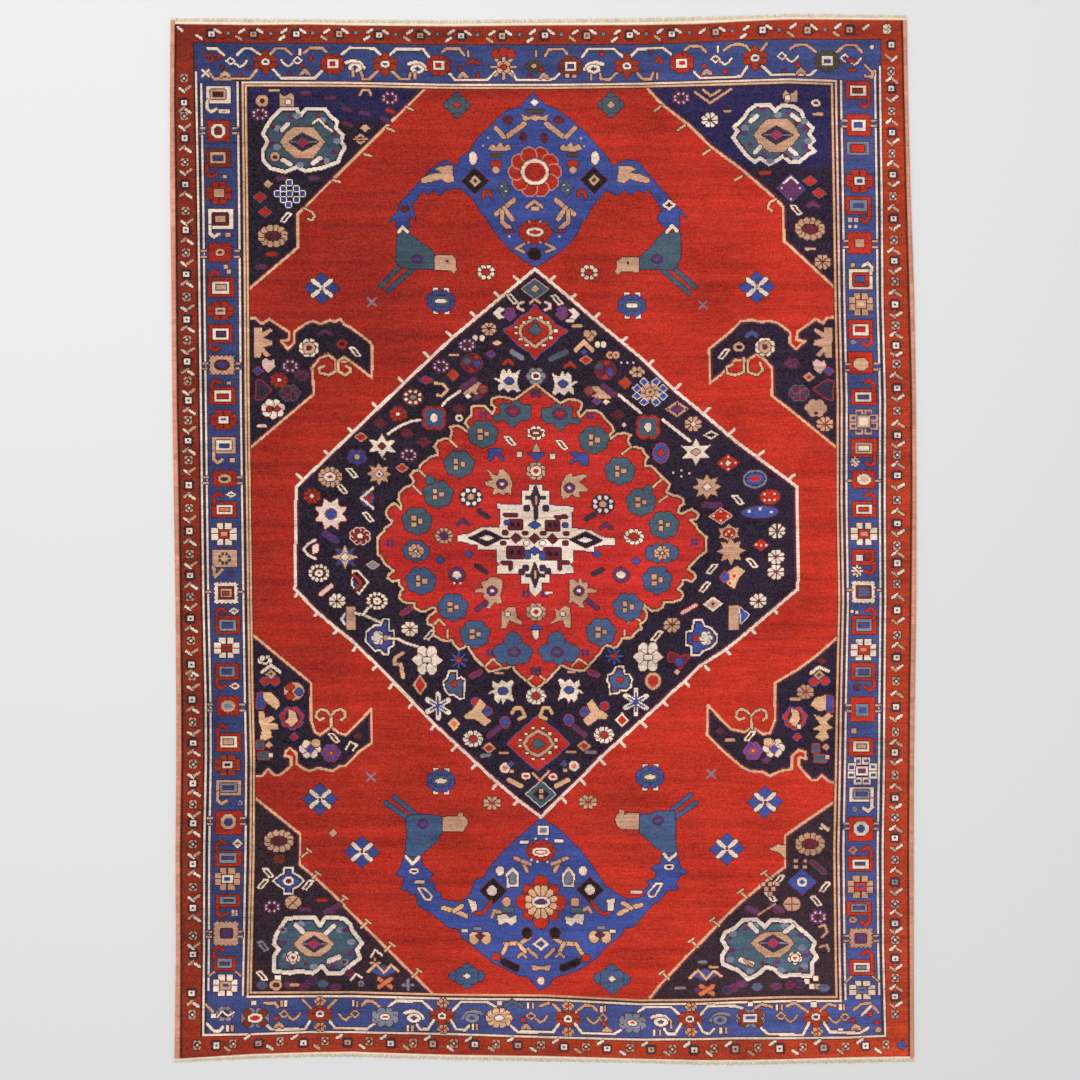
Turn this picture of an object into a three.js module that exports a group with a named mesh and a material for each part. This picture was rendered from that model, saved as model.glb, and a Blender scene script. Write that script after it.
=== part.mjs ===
// A hand-knotted wool rug of the Kazak kind, lying flat: one thick pile field, a wrapped edge cord
// down each side and a strip of short cut fringe across each end.
// Millimetres, +Z up, the underside at z = 0, the rug's upper end towards +Y.
import * as THREE from 'three';

// Driving sizes: the box that the lying rug just fills
const RUG_LENGTH = 3000;
const RUG_WIDTH = 2130;

// Field: foundation and pile together
const PILE_HEIGHT = 9;
const SWELL_HEIGHT = 0.5;
const SWELL_LENGTH = 860;
const SWELL_WIDTH = 610;

// Old fold lines: the rug was kept folded in four across its width
const CREASE_PLACES = [-RUG_WIDTH / 4, RUG_WIDTH / 4];
const CREASE_DEPTH = 1.3;
const CREASE_REACH = 24;

// Edge cords: yarn wrapped over the outermost warps
const CORD_WIDTH = 13.5;
const CORD_HEIGHT = 8.2;
const CORD_WALL = 0.35;

// Ends: an overcast strip that holds the roots of the cut warps
const STRIP_DEPTH = 8;
const STRIP_HEIGHT = 5;
const LOCK_LENGTH = 10.5;
const LOCK_SPREAD = 3.2;
const LOCK_COUNT = 84;
const LOCK_TIP_SHARE = 0.62;
const LOCK_LEAN = 2.6;
const LOCK_ROOT_HEIGHT = 3.6;
const LOCK_TIP_HEIGHT = 1.6;

// Clearance between neighbouring pieces
const GAP = 0.3;

// Mesh density
const COLUMN_STEP = 150;
const ROW_STEP = 110;

// How far the left and right edges fall inside the box, at heights measured from the rug's middle
const SIDE_DRIFT = [
  { at: -1483, left: 13.4, right: 7.7 },
  { at: -1142, left: 17.7, right: 8.5 },
  { at: -857, left: 16.2, right: 8.5 },
  { at: -572, left: 19.0, right: 7.1 },
  { at: -287, left: 18.2, right: 2.0 },
  { at: -2, left: 13.4, right: 0.0 },
  { at: 283, left: 9.0, right: 1.4 },
  { at: 568, left: 4.8, right: 2.8 },
  { at: 767, left: 4.8, right: 10.0 },
  { at: 967, left: 1.4, right: 17.0 },
  { at: 1195, left: 0.0, right: 23.4 },
  { at: 1366, left: 0.6, right: 28.0 },
  { at: 1491, left: 3.0, right: 28.5 },
];

// How far the upper and lower ends fall inside the box, at places measured from the rug's middle
const END_DRIFT = [
  { at: -1060, upper: 12.5, lower: 6.6 },
  { at: -906, upper: 11.4, lower: 14.2 },
  { at: -764, upper: 15.4, lower: 21.4 },
  { at: -579, upper: 17.0, lower: 25.0 },
  { at: -351, upper: 18.2, lower: 15.7 },
  { at: -123, upper: 18.2, lower: 14.8 },
  { at: 48, upper: 15.4, lower: 10.0 },
  { at: 276, upper: 12.5, lower: 10.0 },
  { at: 447, upper: 8.3, lower: 1.4 },
  { at: 618, upper: 4.0, lower: 0.0 },
  { at: 732, upper: 0.0, lower: 5.7 },
  { at: 874, upper: 1.7, lower: 5.7 },
  { at: 1056, upper: 6.0, lower: 10.0 },
];

const HALF_LENGTH = RUG_LENGTH / 2;
const HALF_WIDTH = RUG_WIDTH / 2;
const END_DEPTH = STRIP_DEPTH + LOCK_LENGTH;
const FIELD_SIDE = HALF_WIDTH - CORD_WIDTH - GAP;
const FIELD_END = HALF_LENGTH - END_DEPTH - GAP;
const LOCK_PITCH = RUG_WIDTH / LOCK_COUNT;

const wool = new THREE.MeshStandardMaterial({ color: 0xa8352a, roughness: 0.95, metalness: 0 });
const wrapping = new THREE.MeshStandardMaterial({ color: 0xd2876a, roughness: 0.9, metalness: 0 });
const warps = new THREE.MeshStandardMaterial({ color: 0xe4cdb2, roughness: 0.9, metalness: 0 });

// Even stops from low to high, no further apart than step
function stops(low, high, step) {
  const count = Math.ceil((high - low) / step);
  return Array.from({ length: count + 1 }, (_, i) => THREE.MathUtils.lerp(low, high, i / count));
}

// Field columns: even stops between the folds, with closer ones across each fold
function fieldColumns() {
  const edges = [-FIELD_SIDE, ...CREASE_PLACES, FIELD_SIDE];
  const columns = [-FIELD_SIDE, FIELD_SIDE];
  CREASE_PLACES.forEach((fold) => {
    columns.push(...[-2, -1, 0, 1, 2].map((steps) => fold + steps * CREASE_REACH));
  });
  for (let i = 1; i < edges.length; i += 1) {
    const from = edges[i - 1] + (i > 1 ? 2 * CREASE_REACH : 0);
    const to = edges[i] - (i < edges.length - 1 ? 2 * CREASE_REACH : 0);
    columns.push(...stops(from, to, COLUMN_STEP).slice(1, -1));
  }
  return columns.sort((a, b) => a - b);
}

const COLUMNS = fieldColumns();
const ROWS = stops(-FIELD_END, FIELD_END, ROW_STEP);

// Reads one edge's drift at a place, going from row to row with the given ease
function driftAt(table, edge, place, ease) {
  const next = table.findIndex((row) => row.at >= place);
  if (next <= 0) {
    return table[next === 0 ? 0 : table.length - 1][edge];
  }
  const share = ease((place - table[next - 1].at) / (table[next].at - table[next - 1].at));
  return THREE.MathUtils.lerp(table[next - 1][edge], table[next][edge], share);
}

// The drift at each of the field's stops, so that neighbouring pieces share the same straight steps
function atStops(table, edges, places) {
  const ease = (share) => THREE.MathUtils.smoothstep(share, 0, 1);
  return places.map((at) => {
    const drifts = edges.map((edge) => [edge, driftAt(table, edge, at, ease)]);
    return { at, ...Object.fromEntries(drifts) };
  });
}

const SIDE_STEPS = atStops(SIDE_DRIFT, ['left', 'right'], ROWS);
const END_STEPS = atStops(END_DRIFT, ['lower', 'upper'], COLUMNS);

// Moves a point of the straight rectangle to where the drifting edges carry it
function lie(x, y) {
  const straight = (share) => share;
  const across = x / RUG_WIDTH + 0.5;
  const along = y / RUG_LENGTH + 0.5;
  const left = driftAt(SIDE_STEPS, 'left', y, straight) * (1 - across);
  const right = driftAt(SIDE_STEPS, 'right', y, straight) * across;
  const lower = driftAt(END_STEPS, 'lower', x, straight) * (1 - along);
  const upper = driftAt(END_STEPS, 'upper', x, straight) * along;
  return new THREE.Vector2(x + left - right, y + lower - upper);
}

// A slab over rows of corners, lowest row first: flat below, its upper face as high as each corner says
function slab(corners) {
  const columnSteps = corners[0].length - 1;
  const rowSteps = corners.length - 1;
  const geometry = new THREE.BoxGeometry(1, 1, 1, columnSteps, rowSteps, 1);
  const points = geometry.attributes.position;
  for (let i = 0; i < points.count; i += 1) {
    const column = Math.round((points.getX(i) + 0.5) * columnSteps);
    const row = Math.round((points.getY(i) + 0.5) * rowSteps);
    const corner = corners[row][column];
    const place = lie(corner.x, corner.y);
    points.setXYZ(i, place.x, place.y, points.getZ(i) > 0 ? corner.height : 0);
  }
  return geometry;
}

// The field's upper face: a slight swell, and a soft trough along each old fold
function pileTop(x, y) {
  const swell = Math.sin((2 * Math.PI * x) / SWELL_WIDTH) * Math.cos((2 * Math.PI * y) / SWELL_LENGTH);
  const troughs = CREASE_PLACES.map((fold) => Math.exp(-(((x - fold) / CREASE_REACH) ** 2)));
  const sunk = troughs.reduce((total, trough) => total + trough, 0);
  return PILE_HEIGHT + SWELL_HEIGHT * swell - CREASE_DEPTH * sunk;
}

function makeField() {
  return slab(ROWS.map((y) => COLUMNS.map((x) => ({ x, y, height: pileTop(x, y) }))));
}

// A wrapped edge cord: a flat foot and a rounded crown
function makeCord(side) {
  const middle = side * (HALF_WIDTH - CORD_WIDTH / 2);
  const across = [-0.5, -0.32, 0, 0.32, 0.5].map((share) => {
    const height = CORD_HEIGHT * (CORD_WALL + (1 - CORD_WALL) * Math.cos(share * Math.PI));
    return { x: middle + share * CORD_WIDTH, height };
  });
  return slab(ROWS.map((y) => across.map((point) => ({ ...point, y }))));
}

// A number from 0 to 1 that looks random but is the same every time
function scatter(index, stream) {
  const value = Math.sin(index * 12.9898 + stream * 78.233) * 43758.5453;
  return value - Math.floor(value);
}

// What repeats along an end: the notch before a lock and the lock's two tip corners, with the place
// on the strip's inner edge that each is drawn out from
function lockCorners(index, end) {
  const left = -HALF_WIDTH + LOCK_PITCH * index;
  const inset = (LOCK_PITCH * (1 - LOCK_TIP_SHARE)) / 2;
  const lean = LOCK_LEAN * (2 * scatter(index, end + 5) - 1);
  const tip = end * (HALF_LENGTH - LOCK_SPREAD * scatter(index, end + 2));
  const right = left + LOCK_PITCH;
  return [
    { from: left, x: left, y: end * (HALF_LENGTH - LOCK_LENGTH), height: LOCK_ROOT_HEIGHT },
    { from: left + inset, x: left + inset + lean, y: tip, height: LOCK_TIP_HEIGHT },
    { from: right - inset, x: right - inset + lean, y: tip, height: LOCK_TIP_HEIGHT },
  ];
}

// An end strip with its locks, thinning from the strip to the lock tips
function makeFringe(end) {
  const outer = Array.from({ length: LOCK_COUNT }, (_, i) => lockCorners(i, end)).flat();
  outer.push({ ...outer[0], from: HALF_WIDTH, x: HALF_WIDTH });
  const seam = end * (HALF_LENGTH - END_DEPTH);
  const inner = outer.map(({ from }) => ({ x: from, y: seam, height: STRIP_HEIGHT }));
  return slab(end > 0 ? [inner, outer] : [outer, inner]);
}

function addPiece(name, geometry, material) {
  const mesh = new THREE.Mesh(geometry, material);
  mesh.name = name;
  rug.add(mesh);
}

const rug = new THREE.Group();
addPiece('rug_pile', makeField(), wool);
addPiece('selvedge_left', makeCord(-1), wrapping);
addPiece('selvedge_right', makeCord(1), wrapping);
addPiece('fringe_top', makeFringe(1), warps);
addPiece('fringe_bottom', makeFringe(-1), warps);

export default rug;
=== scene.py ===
# A hand-knotted wool rug of the Kazak kind, lying flat: a pile tied knot by knot from a cartoon, a
# wrapped cord down each side, overcast ends with their cut warps, and the warps and wefts inside.
# Metres, +Z up, the underside at z = 0, the rug's upper end towards +Y.
import math
import re

import bmesh
import bpy
import numpy as np
from mathutils import Matrix, Vector


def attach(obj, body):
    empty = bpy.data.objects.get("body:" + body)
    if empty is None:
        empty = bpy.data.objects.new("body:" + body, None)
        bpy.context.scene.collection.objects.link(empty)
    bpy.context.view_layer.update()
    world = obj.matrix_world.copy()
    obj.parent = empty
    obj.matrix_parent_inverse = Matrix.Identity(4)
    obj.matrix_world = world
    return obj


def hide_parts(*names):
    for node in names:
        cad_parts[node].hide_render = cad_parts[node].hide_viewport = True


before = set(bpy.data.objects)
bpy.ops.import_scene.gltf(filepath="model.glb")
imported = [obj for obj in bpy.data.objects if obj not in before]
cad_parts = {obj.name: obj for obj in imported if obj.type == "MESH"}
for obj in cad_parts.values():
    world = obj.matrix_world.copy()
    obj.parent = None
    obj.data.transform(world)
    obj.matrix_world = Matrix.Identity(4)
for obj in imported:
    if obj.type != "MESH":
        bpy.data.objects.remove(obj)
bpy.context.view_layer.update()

# The knots: how wide one is, how many there are, and how thick the rug is
KNOT = 0.002849
COLUMNS, ROWS = 733, 1032
PILE_TOP = 0.009
SWELL = {"height": 0.0005, "width": 0.61, "length": 0.86}
CREASE = {"places": (-0.5325, 0.5325), "depth": 0.0013, "reach": 0.024}

# The cartoon sheet: places on it are in knot widths, from a corner up and left of the rug
SHEET_MIDDLE = (543.15, 539.3)

# The knot columns that keep to a drawn line each: outer edges, pile edges, and the border's outer and
# inner lines. Then where those lines lie across the sheet, from station to station down it.
COLUMN_LINES = (-5, 0, 23, 73, 659, 707, 733, 738)
DOWN = (
    (17, 170.2, 175.0, 194.8, 246.2, 831.4, 879.4, 902.6, 907.0),
    (100, 169.4, 174.4, 196.4, 246.8, 832.2, 880.3, 904.3, 908.3),
    (200, 169.8, 175.6, 198.2, 248.0, 834.0, 881.8, 906.7, 911.0),
    (300, 171.0, 176.3, 199.5, 248.9, 835.6, 882.4, 909.6, 914.7),
    (400, 171.9, 177.0, 200.9, 249.5, 837.8, 885.0, 912.0, 916.2),
    (500, 173.4, 178.9, 202.1, 250.8, 837.6, 884.7, 912.3, 916.7),
    (600, 175.0, 180.2, 203.4, 252.1, 839.3, 885.3, 911.3, 916.7),
    (700, 175.9, 181.4, 205.7, 253.5, 837.1, 884.3, 909.8, 915.2),
    (760, 175.9, 181.7, 205.9, 255.0, 836.1, 884.0, 909.4, 914.3),
    (850, 175.1, 180.3, 204.2, 254.6, 834.3, 882.7, 908.8, 914.0),
    (950, 175.4, 180.7, 204.0, 252.5, 835.6, 883.1, 909.3, 914.0),
    (1063, 174.0, 180.2, 203.0, 249.9, 838.0, 886.0, 909.8, 914.4),
)

# The same for the knot rows: outer end, pile end, the border's outer and inner lines, and back out
ROW_LINES = (-7, 0, 19, 62, 972, 1012, 1032, 1039)
ACROSS = (
    (170, 17.0, 24.0, 43.0, 85.2, 992.8, 1035.5, 1059.3, 1063.6),
    (250, 17.4, 25.1, 43.5, 85.4, 992.5, 1034.3, 1054.0, 1059.6),
    (310, 18.3, 24.4, 43.7, 85.5, 992.3, 1031.9, 1052.1, 1057.8),
    (350, 18.7, 25.4, 43.9, 85.6, 992.2, 1032.2, 1051.6, 1057.6),
    (450, 19.0, 26.4, 45.2, 87.9, 994.8, 1034.0, 1054.7, 1060.6),
    (545, 18.2, 25.4, 45.2, 87.9, 995.4, 1037.2, 1055.9, 1062.4),
    (640, 17.0, 25.2, 44.8, 86.6, 1000.3, 1039.7, 1058.7, 1063.6),
    (700, 15.5, 24.0, 42.6, 85.0, 999.9, 1039.0, 1060.0, 1065.5),
    (740, 14.5, 21.6, 40.6, 83.8, 998.4, 1038.2, 1060.0, 1065.9),
    (790, 12.9, 19.4, 39.6, 82.2, 997.0, 1038.2, 1059.0, 1064.6),
    (850, 13.2, 19.7, 39.8, 84.6, 997.0, 1037.5, 1057.1, 1064.0),
    (917, 14.7, 20.2, 40.2, 85.2, 997.0, 1034.2, 1056.2, 1062.5),
)

# The dyes, by the letter that stands for each in the tables
DYES = {
    "R": (184, 45, 29),  # madder red of the field
    "C": (197, 45, 38),  # clearer red inside the medallion
    "G": (163, 52, 28),  # guard red
    "E": (126, 50, 36),  # brick brown
    "F": (178, 60, 44),  # faded red
    "A": (224, 120, 80),  # apricot
    "L": (236, 190, 176),  # pale pink
    "O": (226, 176, 136),  # peach
    "Y": (203, 155, 127),  # tan
    "W": (238, 215, 197),  # ivory
    "B": (64, 74, 127),  # indigo blue of the borders
    "b": (64, 78, 148),  # clearer indigo of the pendants
    "S": (128, 132, 148),  # slate
    "T": (72, 91, 106),  # teal
    "t": (70, 89, 127),  # blue teal
    "D": (70, 74, 56),  # dark green
    "N": (42, 29, 46),  # navy
    "V": (42, 35, 76),  # royal navy
    "v": (52, 35, 43),  # navy gone brown
    "n": (60, 44, 66),  # navy gone purple
    "P": (98, 50, 92),  # purple
    "M": (104, 36, 52),  # maroon
    "K": (84, 42, 30),  # outline brown
    "k": (38, 26, 30),  # near black
}
LETTERS = "".join(DYES)


def between(value, from_stops, to_stops):
    """Carries a value from one set of stops to another, evenly between each two."""
    moved = to_stops[0] + 0.0 * value
    for k in range(len(from_stops) - 1):
        share = (value - from_stops[k]) / (from_stops[k + 1] - from_stops[k])
        moved = moved + np.clip(share, 0, 1) * (to_stops[k + 1] - to_stops[k])
    return moved


def lines_at(stations, place):
    """Where each line of a drift table lies at a place, or at each of many."""
    at, *lines = zip(*stations)
    return [np.interp(place, at, line) for line in lines]


def knot_at(x, y):
    """The chart's column and row under places on the sheet."""
    return between(x, lines_at(DOWN, y), COLUMN_LINES), between(y, lines_at(ACROSS, x), ROW_LINES)


def sheet_at(column, row):
    """The places on the sheet of columns and rows: each line's drift is read where the other puts it."""
    x, y = column + 175.0, row + 25.0
    for _ in range(3):
        x, y = between(column, COLUMN_LINES, lines_at(DOWN, y)), between(row, ROW_LINES, lines_at(ACROSS, x))
    return x, y


def floor_at(column, row):
    """Where columns and rows of the chart lie on the floor, in metres."""
    x, y = sheet_at(column, row)
    return (x - SHEET_MIDDLE[0]) * KNOT, (SHEET_MIDDLE[1] - y) * KNOT


def pile_height(x, y):
    """The pile's upper face: a slight swell, and a soft trough along each old fold."""
    swell = np.sin(2 * np.pi * x / SWELL["width"]) * np.cos(2 * np.pi * y / SWELL["length"])
    sunk = sum(np.exp(-(((x - place) / CREASE["reach"]) ** 2)) for place in CREASE["places"])
    return PILE_TOP + SWELL["height"] * swell - CREASE["depth"] * sunk


# The chart holds the dye of every knot, the field's red at first. The painters below tie shapes into it
chart = np.full((ROWS, COLUMNS), LETTERS.index("R"), np.int32)


def window(low, high, spare=2):
    """The part of the chart round a box, with the places of its knots' middles."""
    c0, r0 = (max(int(math.floor(v)) - spare, 0) for v in low)
    c1, r1 = (min(int(math.ceil(v)) + spare, end) for v, end in zip(high, (COLUMNS, ROWS)))
    rows, columns = np.mgrid[r0 : max(r1, r0), c0 : max(c1, c0)] + 0.5
    return chart[r0 : max(r1, r0), c0 : max(c1, c0)], columns, rows


def tie(knots, mask, dye):
    """Ties the masked knots in a dye, and first a line round them if a second one is named, as in R/K."""
    if len(dye) > 1:
        wide = mask.copy()
        wide[1:] |= mask[:-1]
        wide[:-1] |= mask[1:]
        wide[:, 1:] |= mask[:, :-1]
        wide[:, :-1] |= mask[:, 1:]
        knots[wide] = LETTERS.index(dye[-1])
    knots[mask] = LETTERS.index(dye[0])


def layers(dyes):
    return re.findall(r"\w(?:/\w)?", dyes)


def shape(kind):
    """A painter of shapes set in each other: their width and height, then how far in each next one is."""
    outward = {
        "oval": np.hypot,
        "gem": lambda u, v: u + v,
        "block": np.maximum,
        "eight": lambda u, v: np.maximum(np.maximum(u, v), 0.7 * (u + v)),
    }[kind]

    def paint(dyes, sizes, places):
        for x, y in places:
            w, h = sizes[0], sizes[1] if len(sizes) > 1 else sizes[0]
            insets = list(sizes[2:]) or [2]
            for dye in layers(dyes):
                knots, columns, rows = window((x - w / 2, y - h / 2), (x + w / 2, y + h / 2))
                u, v = abs(columns - x) / max(w / 2, 0.4), abs(rows - y) / max(h / 2, 0.4)
                tie(knots, outward(u, v) <= 1, dye)
                inset = insets.pop(0) if len(insets) > 1 else insets[0]
                w, h = w - 2 * inset, h - 2 * inset
    return paint


def ring_of(offset):
    """A painter of lobes set round an oval: its width and height, their number, and each one's size."""
    def paint(dyes, sizes, places):
        w, h, count, *lobe = sizes
        wide, high = lobe if len(lobe) > 1 else lobe * 2
        for x, y in places:
            for k in range(int(count)):
                turn = 2 * math.pi * (k + offset) / count
                at = x + (w - wide) / 2 * math.sin(turn), y - (h - high) / 2 * math.cos(turn)
                shape("oval")(dyes, (wide, high), [at])
    return paint


def bloom(dyes, sizes, places):
    """Lobes grown together round a middle: the width and height, the number of lobes and their size."""
    w, h, count, lobe = sizes
    for x, y in places:
        knots, columns, rows = window((x - w / 2, y - h / 2), (x + w / 2, y + h / 2))
        mask = np.hypot((columns - x) / (w - lobe), (rows - y) / (h - lobe)) <= 0.5
        for k in range(int(count)):
            turn = 2 * math.pi * (k + 0.5) / count
            across = columns - x - (w - lobe) / 2 * math.sin(turn)
            down = rows - y + (h - lobe) / 2 * math.cos(turn)
            mask |= np.hypot(across, down) <= lobe / 2
        tie(knots, mask, dyes)


def wheel(dyes, sizes, places):
    """A flower whose petals are parted by thin lines: its width and height, and the number of petals."""
    w, h, count = sizes
    bloom(f"{dyes[0]}/K", (w, h, count, 2.4 * min(w, h) / count), places)
    for x, y in places:
        for k in range(int(count)):
            turn = 2 * math.pi * k / count
            line("K", [1.1], [(x, y), (x + 0.44 * w * math.sin(turn), y - 0.44 * h * math.cos(turn))])


def burst(dyes, sizes, places):
    """A star: its width and height, its number of points, how far out its notches lie, and its lean."""
    w, h, count, notch, *lean = sizes
    for x, y in places:
        corners = []
        for k in range(2 * int(count)):
            turn = math.pi * k / count + math.radians(lean[0] if lean else 0)
            reach = (1, notch)[k % 2] / 2
            corners.append((x + w * reach * math.sin(turn), y - h * reach * math.cos(turn)))
        area(dyes, (), corners)


def toothed(dyes, sizes, places):
    """A block with small teeth all round: its width, height and the pitch of the teeth."""
    w, h, pitch = sizes
    for x, y in places:
        knots, columns, rows = window((x - w / 2, y - h / 2), (x + w / 2, y + h / 2))
        across, down = abs(columns - x), abs(rows - y)
        dip_x, dip_y = (abs((v / pitch + 0.5) % 1 - 0.5) * 3.2 for v in (down, across))
        tie(knots, (across <= w / 2 - dip_x) & (down <= h / 2 - dip_y), dyes)


def spokes(dyes, sizes, places):
    """Strokes crossing at a middle: how many, their length and width, and the first one's lean."""
    count, length, width, *lean = sizes
    for x, y in places:
        for k in range(int(count)):
            turn = math.pi * k / count + math.radians(lean[0] if lean else 0)
            reach = (length / 2 * math.sin(turn), length / 2 * math.cos(turn))
            line(dyes, [width], [(x - reach[0], y + reach[1]), (x + reach[0], y - reach[1])])


def near(points, closed, width, low, high):
    """The knots of a window that lie within half a width of a path."""
    knots, columns, rows = window(low, high)
    mask = np.zeros(knots.shape, bool)
    for (x0, y0), (x1, y1) in zip(points, points[1:] + points[:1] * closed):
        ax, ay = x1 - x0, y1 - y0
        along = np.clip(((columns - x0) * ax + (rows - y0) * ay) / max(ax * ax + ay * ay, 1e-9), 0, 1)
        mask |= np.hypot(columns - x0 - along * ax, rows - y0 - along * ay) <= width / 2
    return knots, mask


def box_of(places, spare=0):
    across, down = zip(*places)
    return (min(across) - spare, min(down) - spare), (max(across) + spare, max(down) + spare)


def line(dyes, sizes, places, closed=False):
    """A path: one width for each dye, laid over each other."""
    for dye, width in zip(layers(dyes), sizes):
        knots, mask = near(list(places), closed, width, *box_of(places, width / 2))
        tie(knots, mask, dye)


def loop(dyes, sizes, places):
    line(dyes, sizes, places, closed=True)


def inside(points, columns, rows):
    """The knots inside a closed path."""
    found = np.zeros(columns.shape, bool)
    for (x0, y0), (x1, y1) in zip(points, points[1:] + points[:1]):
        if y0 != y1:
            crossed = (y0 > rows) != (y1 > rows)
            found ^= crossed & (columns < x0 + (rows - y0) * (x1 - x0) / (y1 - y0))
    return found


def area(dyes, sizes, places):
    knots, columns, rows = window(*box_of(places))
    tie(knots, inside(list(places), columns, rows), dyes)


def patch(dyes, sizes, places):
    """An area with a line round it: its ground, a thin shade inside the line, then the line."""
    ground, shade, edge = layers(dyes)
    width = sizes[0]
    low, high = box_of(places, width)
    knots, columns, rows = window(low, high)
    mask = inside(list(places), columns, rows)
    tie(knots, mask, ground)
    _, band = near(list(places), True, width + 3.4, low, high)
    tie(knots, band & mask, shade)
    _, band = near(list(places), True, width, low, high)
    tie(knots, band, edge)


def ticks(dyes, sizes, places):
    """Short strokes that start at the places: their width, and how far across and down they go."""
    width, across, down = sizes
    for x, y in places:
        line(dyes, [width], [(x, y), (x + across, y + down)])


def framed(dyes, sizes, places):
    """A frame with a ring in it and an eye in that: its width and height."""
    w, h = sizes
    frame_dye, ring_dye, eye = layers(dyes)
    shape("block")(f"{frame_dye[0]}/K", (w, h), places)
    shape("block")(f"{ring_dye[0]}/KK{eye}", (0.66 * w, 0.62 * h, 2.3, 0.9), places)


def crossed(dyes, sizes, places):
    """Two small squares on each side of a framed middle: the width and height of it all."""
    w, h = sizes
    squares, ring_dye, eye = layers(dyes)
    for x, y in places:
        for way in (-1, 1):
            pair = [(x + way * 0.17 * w, y + end * 0.37 * h) for end in (-1, 1)]
            pair += [(x + end * 0.38 * w, y + way * 0.15 * h) for end in (-1, 1)]
            shape("block")(f"{squares[0]}/K", (0.26 * w, 0.27 * h), pair)
    shape("block")(f"{ring_dye[0]}/K{eye}", (0.42 * w, 0.36 * h, 2.2), places)


def dot(dyes, sizes, places):
    shape("block")(dyes, (2, 2), places)


PAINTERS = {
    "window": framed,
    "cross": crossed,
    "dot": dot,
    "oval": shape("oval"),
    "gem": shape("gem"),
    "block": shape("block"),
    "eight": shape("eight"),
    "petals": ring_of(0.5),
    "rays": ring_of(0),
    "toothed": toothed,
    "bloom": bloom,
    "burst": burst,
    "wheel": wheel,
    "spokes": spokes,
    "line": line,
    "loop": loop,
    "area": area,
    "patch": patch,
    "ticks": ticks,
}


def weave(table, at=None, turn=(1, 1), given=()):
    """Ties what a table lists, a line each: what it is, its dyes, its sizes in knots, and its places.
    A semicolon parts one path from the next, and a line that starts with a figure goes on. A motif's own
    table has places about its middle, and figures in its dyes stand for the dyes it is given; "flip"
    mirrors it left to right, "upend" top to bottom."""
    for name, dyes, *words in map(str.split, re.sub(r"\n\s*(?=[-;\d])", " ", table).strip().splitlines()):
        dyes = "".join(given[int(letter) - 1] if letter.isdigit() else letter for letter in dyes)
        sizes = [float(word) for word in words if re.fullmatch(r"-?[\d.]+", word)]
        way = turn[0] * (-1 if "flip" in words else 1), turn[1] * (-1 if "upend" in words else 1)
        for path in " ".join(words).split(";"):
            pairs = [word.split(",") for word in path.split() if "," in word]
            across, down = np.array(pairs, float).T
            if at is None:
                across, down = knot_at(across, down)
            else:
                across, down = at[0] + turn[0] * across, at[1] + turn[1] * down
            places = list(zip(across.tolist(), down.tolist()))
            if name in PAINTERS:
                PAINTERS[name](dyes, sizes, places)
                continue
            for place in places:
                weave(MOTIFS[name], place, way, layers(dyes))


# Motifs that come back, round their own middle
MOTIFS = {
    "hook": "line 1/K 3 -10.5,6 -11,13 -7,17 -2,14",
    "tulip": """
        petals 1/K 9 10 4 4.4 0,0
        oval 2/K 4 4 0,0
        dot W 0,0""",
    "guardflower": """
        petals n/K 11 11 4 5 0,0
        block n 7 7 0,0
        block 1 6 5.4 0,0
        dot K 0,0""",
    "lean": "line 1/K 2.6 -2.4,-1.6 2.4,1.6",
    "foot": """
        area Y/K 0,-3.5 4.5,0 5.5,3.5 2,3 0,1 -2,3 -5.5,3.5 -4.5,0
        block R/K 3.6 3.6 -3,-6.5""",
    "eye": """
        line 1/K 2 4,2 9,6 13,4 16,0
        gem 1/K 11 9 0,0
        gem K2 6.5 5 1 0,0""",
    "fish": """
        line 1/K 3.2 -9,-3 -2,-5 5,-3 9,2
        oval 1/K 14 9 0,2
        gem K2 8 5 1 0,2""",
    "redstar": """
        oval G/K 7 11 0,-7 0,7
        oval G/K 10 6 -7,-3 7,-3 -7,3 7,3
        block G 9 10 0,0
        oval 1/K2 9 7 2 0,0""",
    "rosette": """
        petals 1/K 24 21 8 8.5 0,0
        oval 1 17 14 0,0
        block W/KK 11 9 2.2 0,0
        block 2 6 4 0,0""",
    "sixflower": """
        petals Y/K 12 9 6 4.2 0,0
        oval R 3.4 3.4 0,0""",
    "teal": """
        petals S/K 28 20 8 8 0,0
        oval S 18 12 0,0
        oval 1/KR 10 6 2 0,0""",
}

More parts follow.
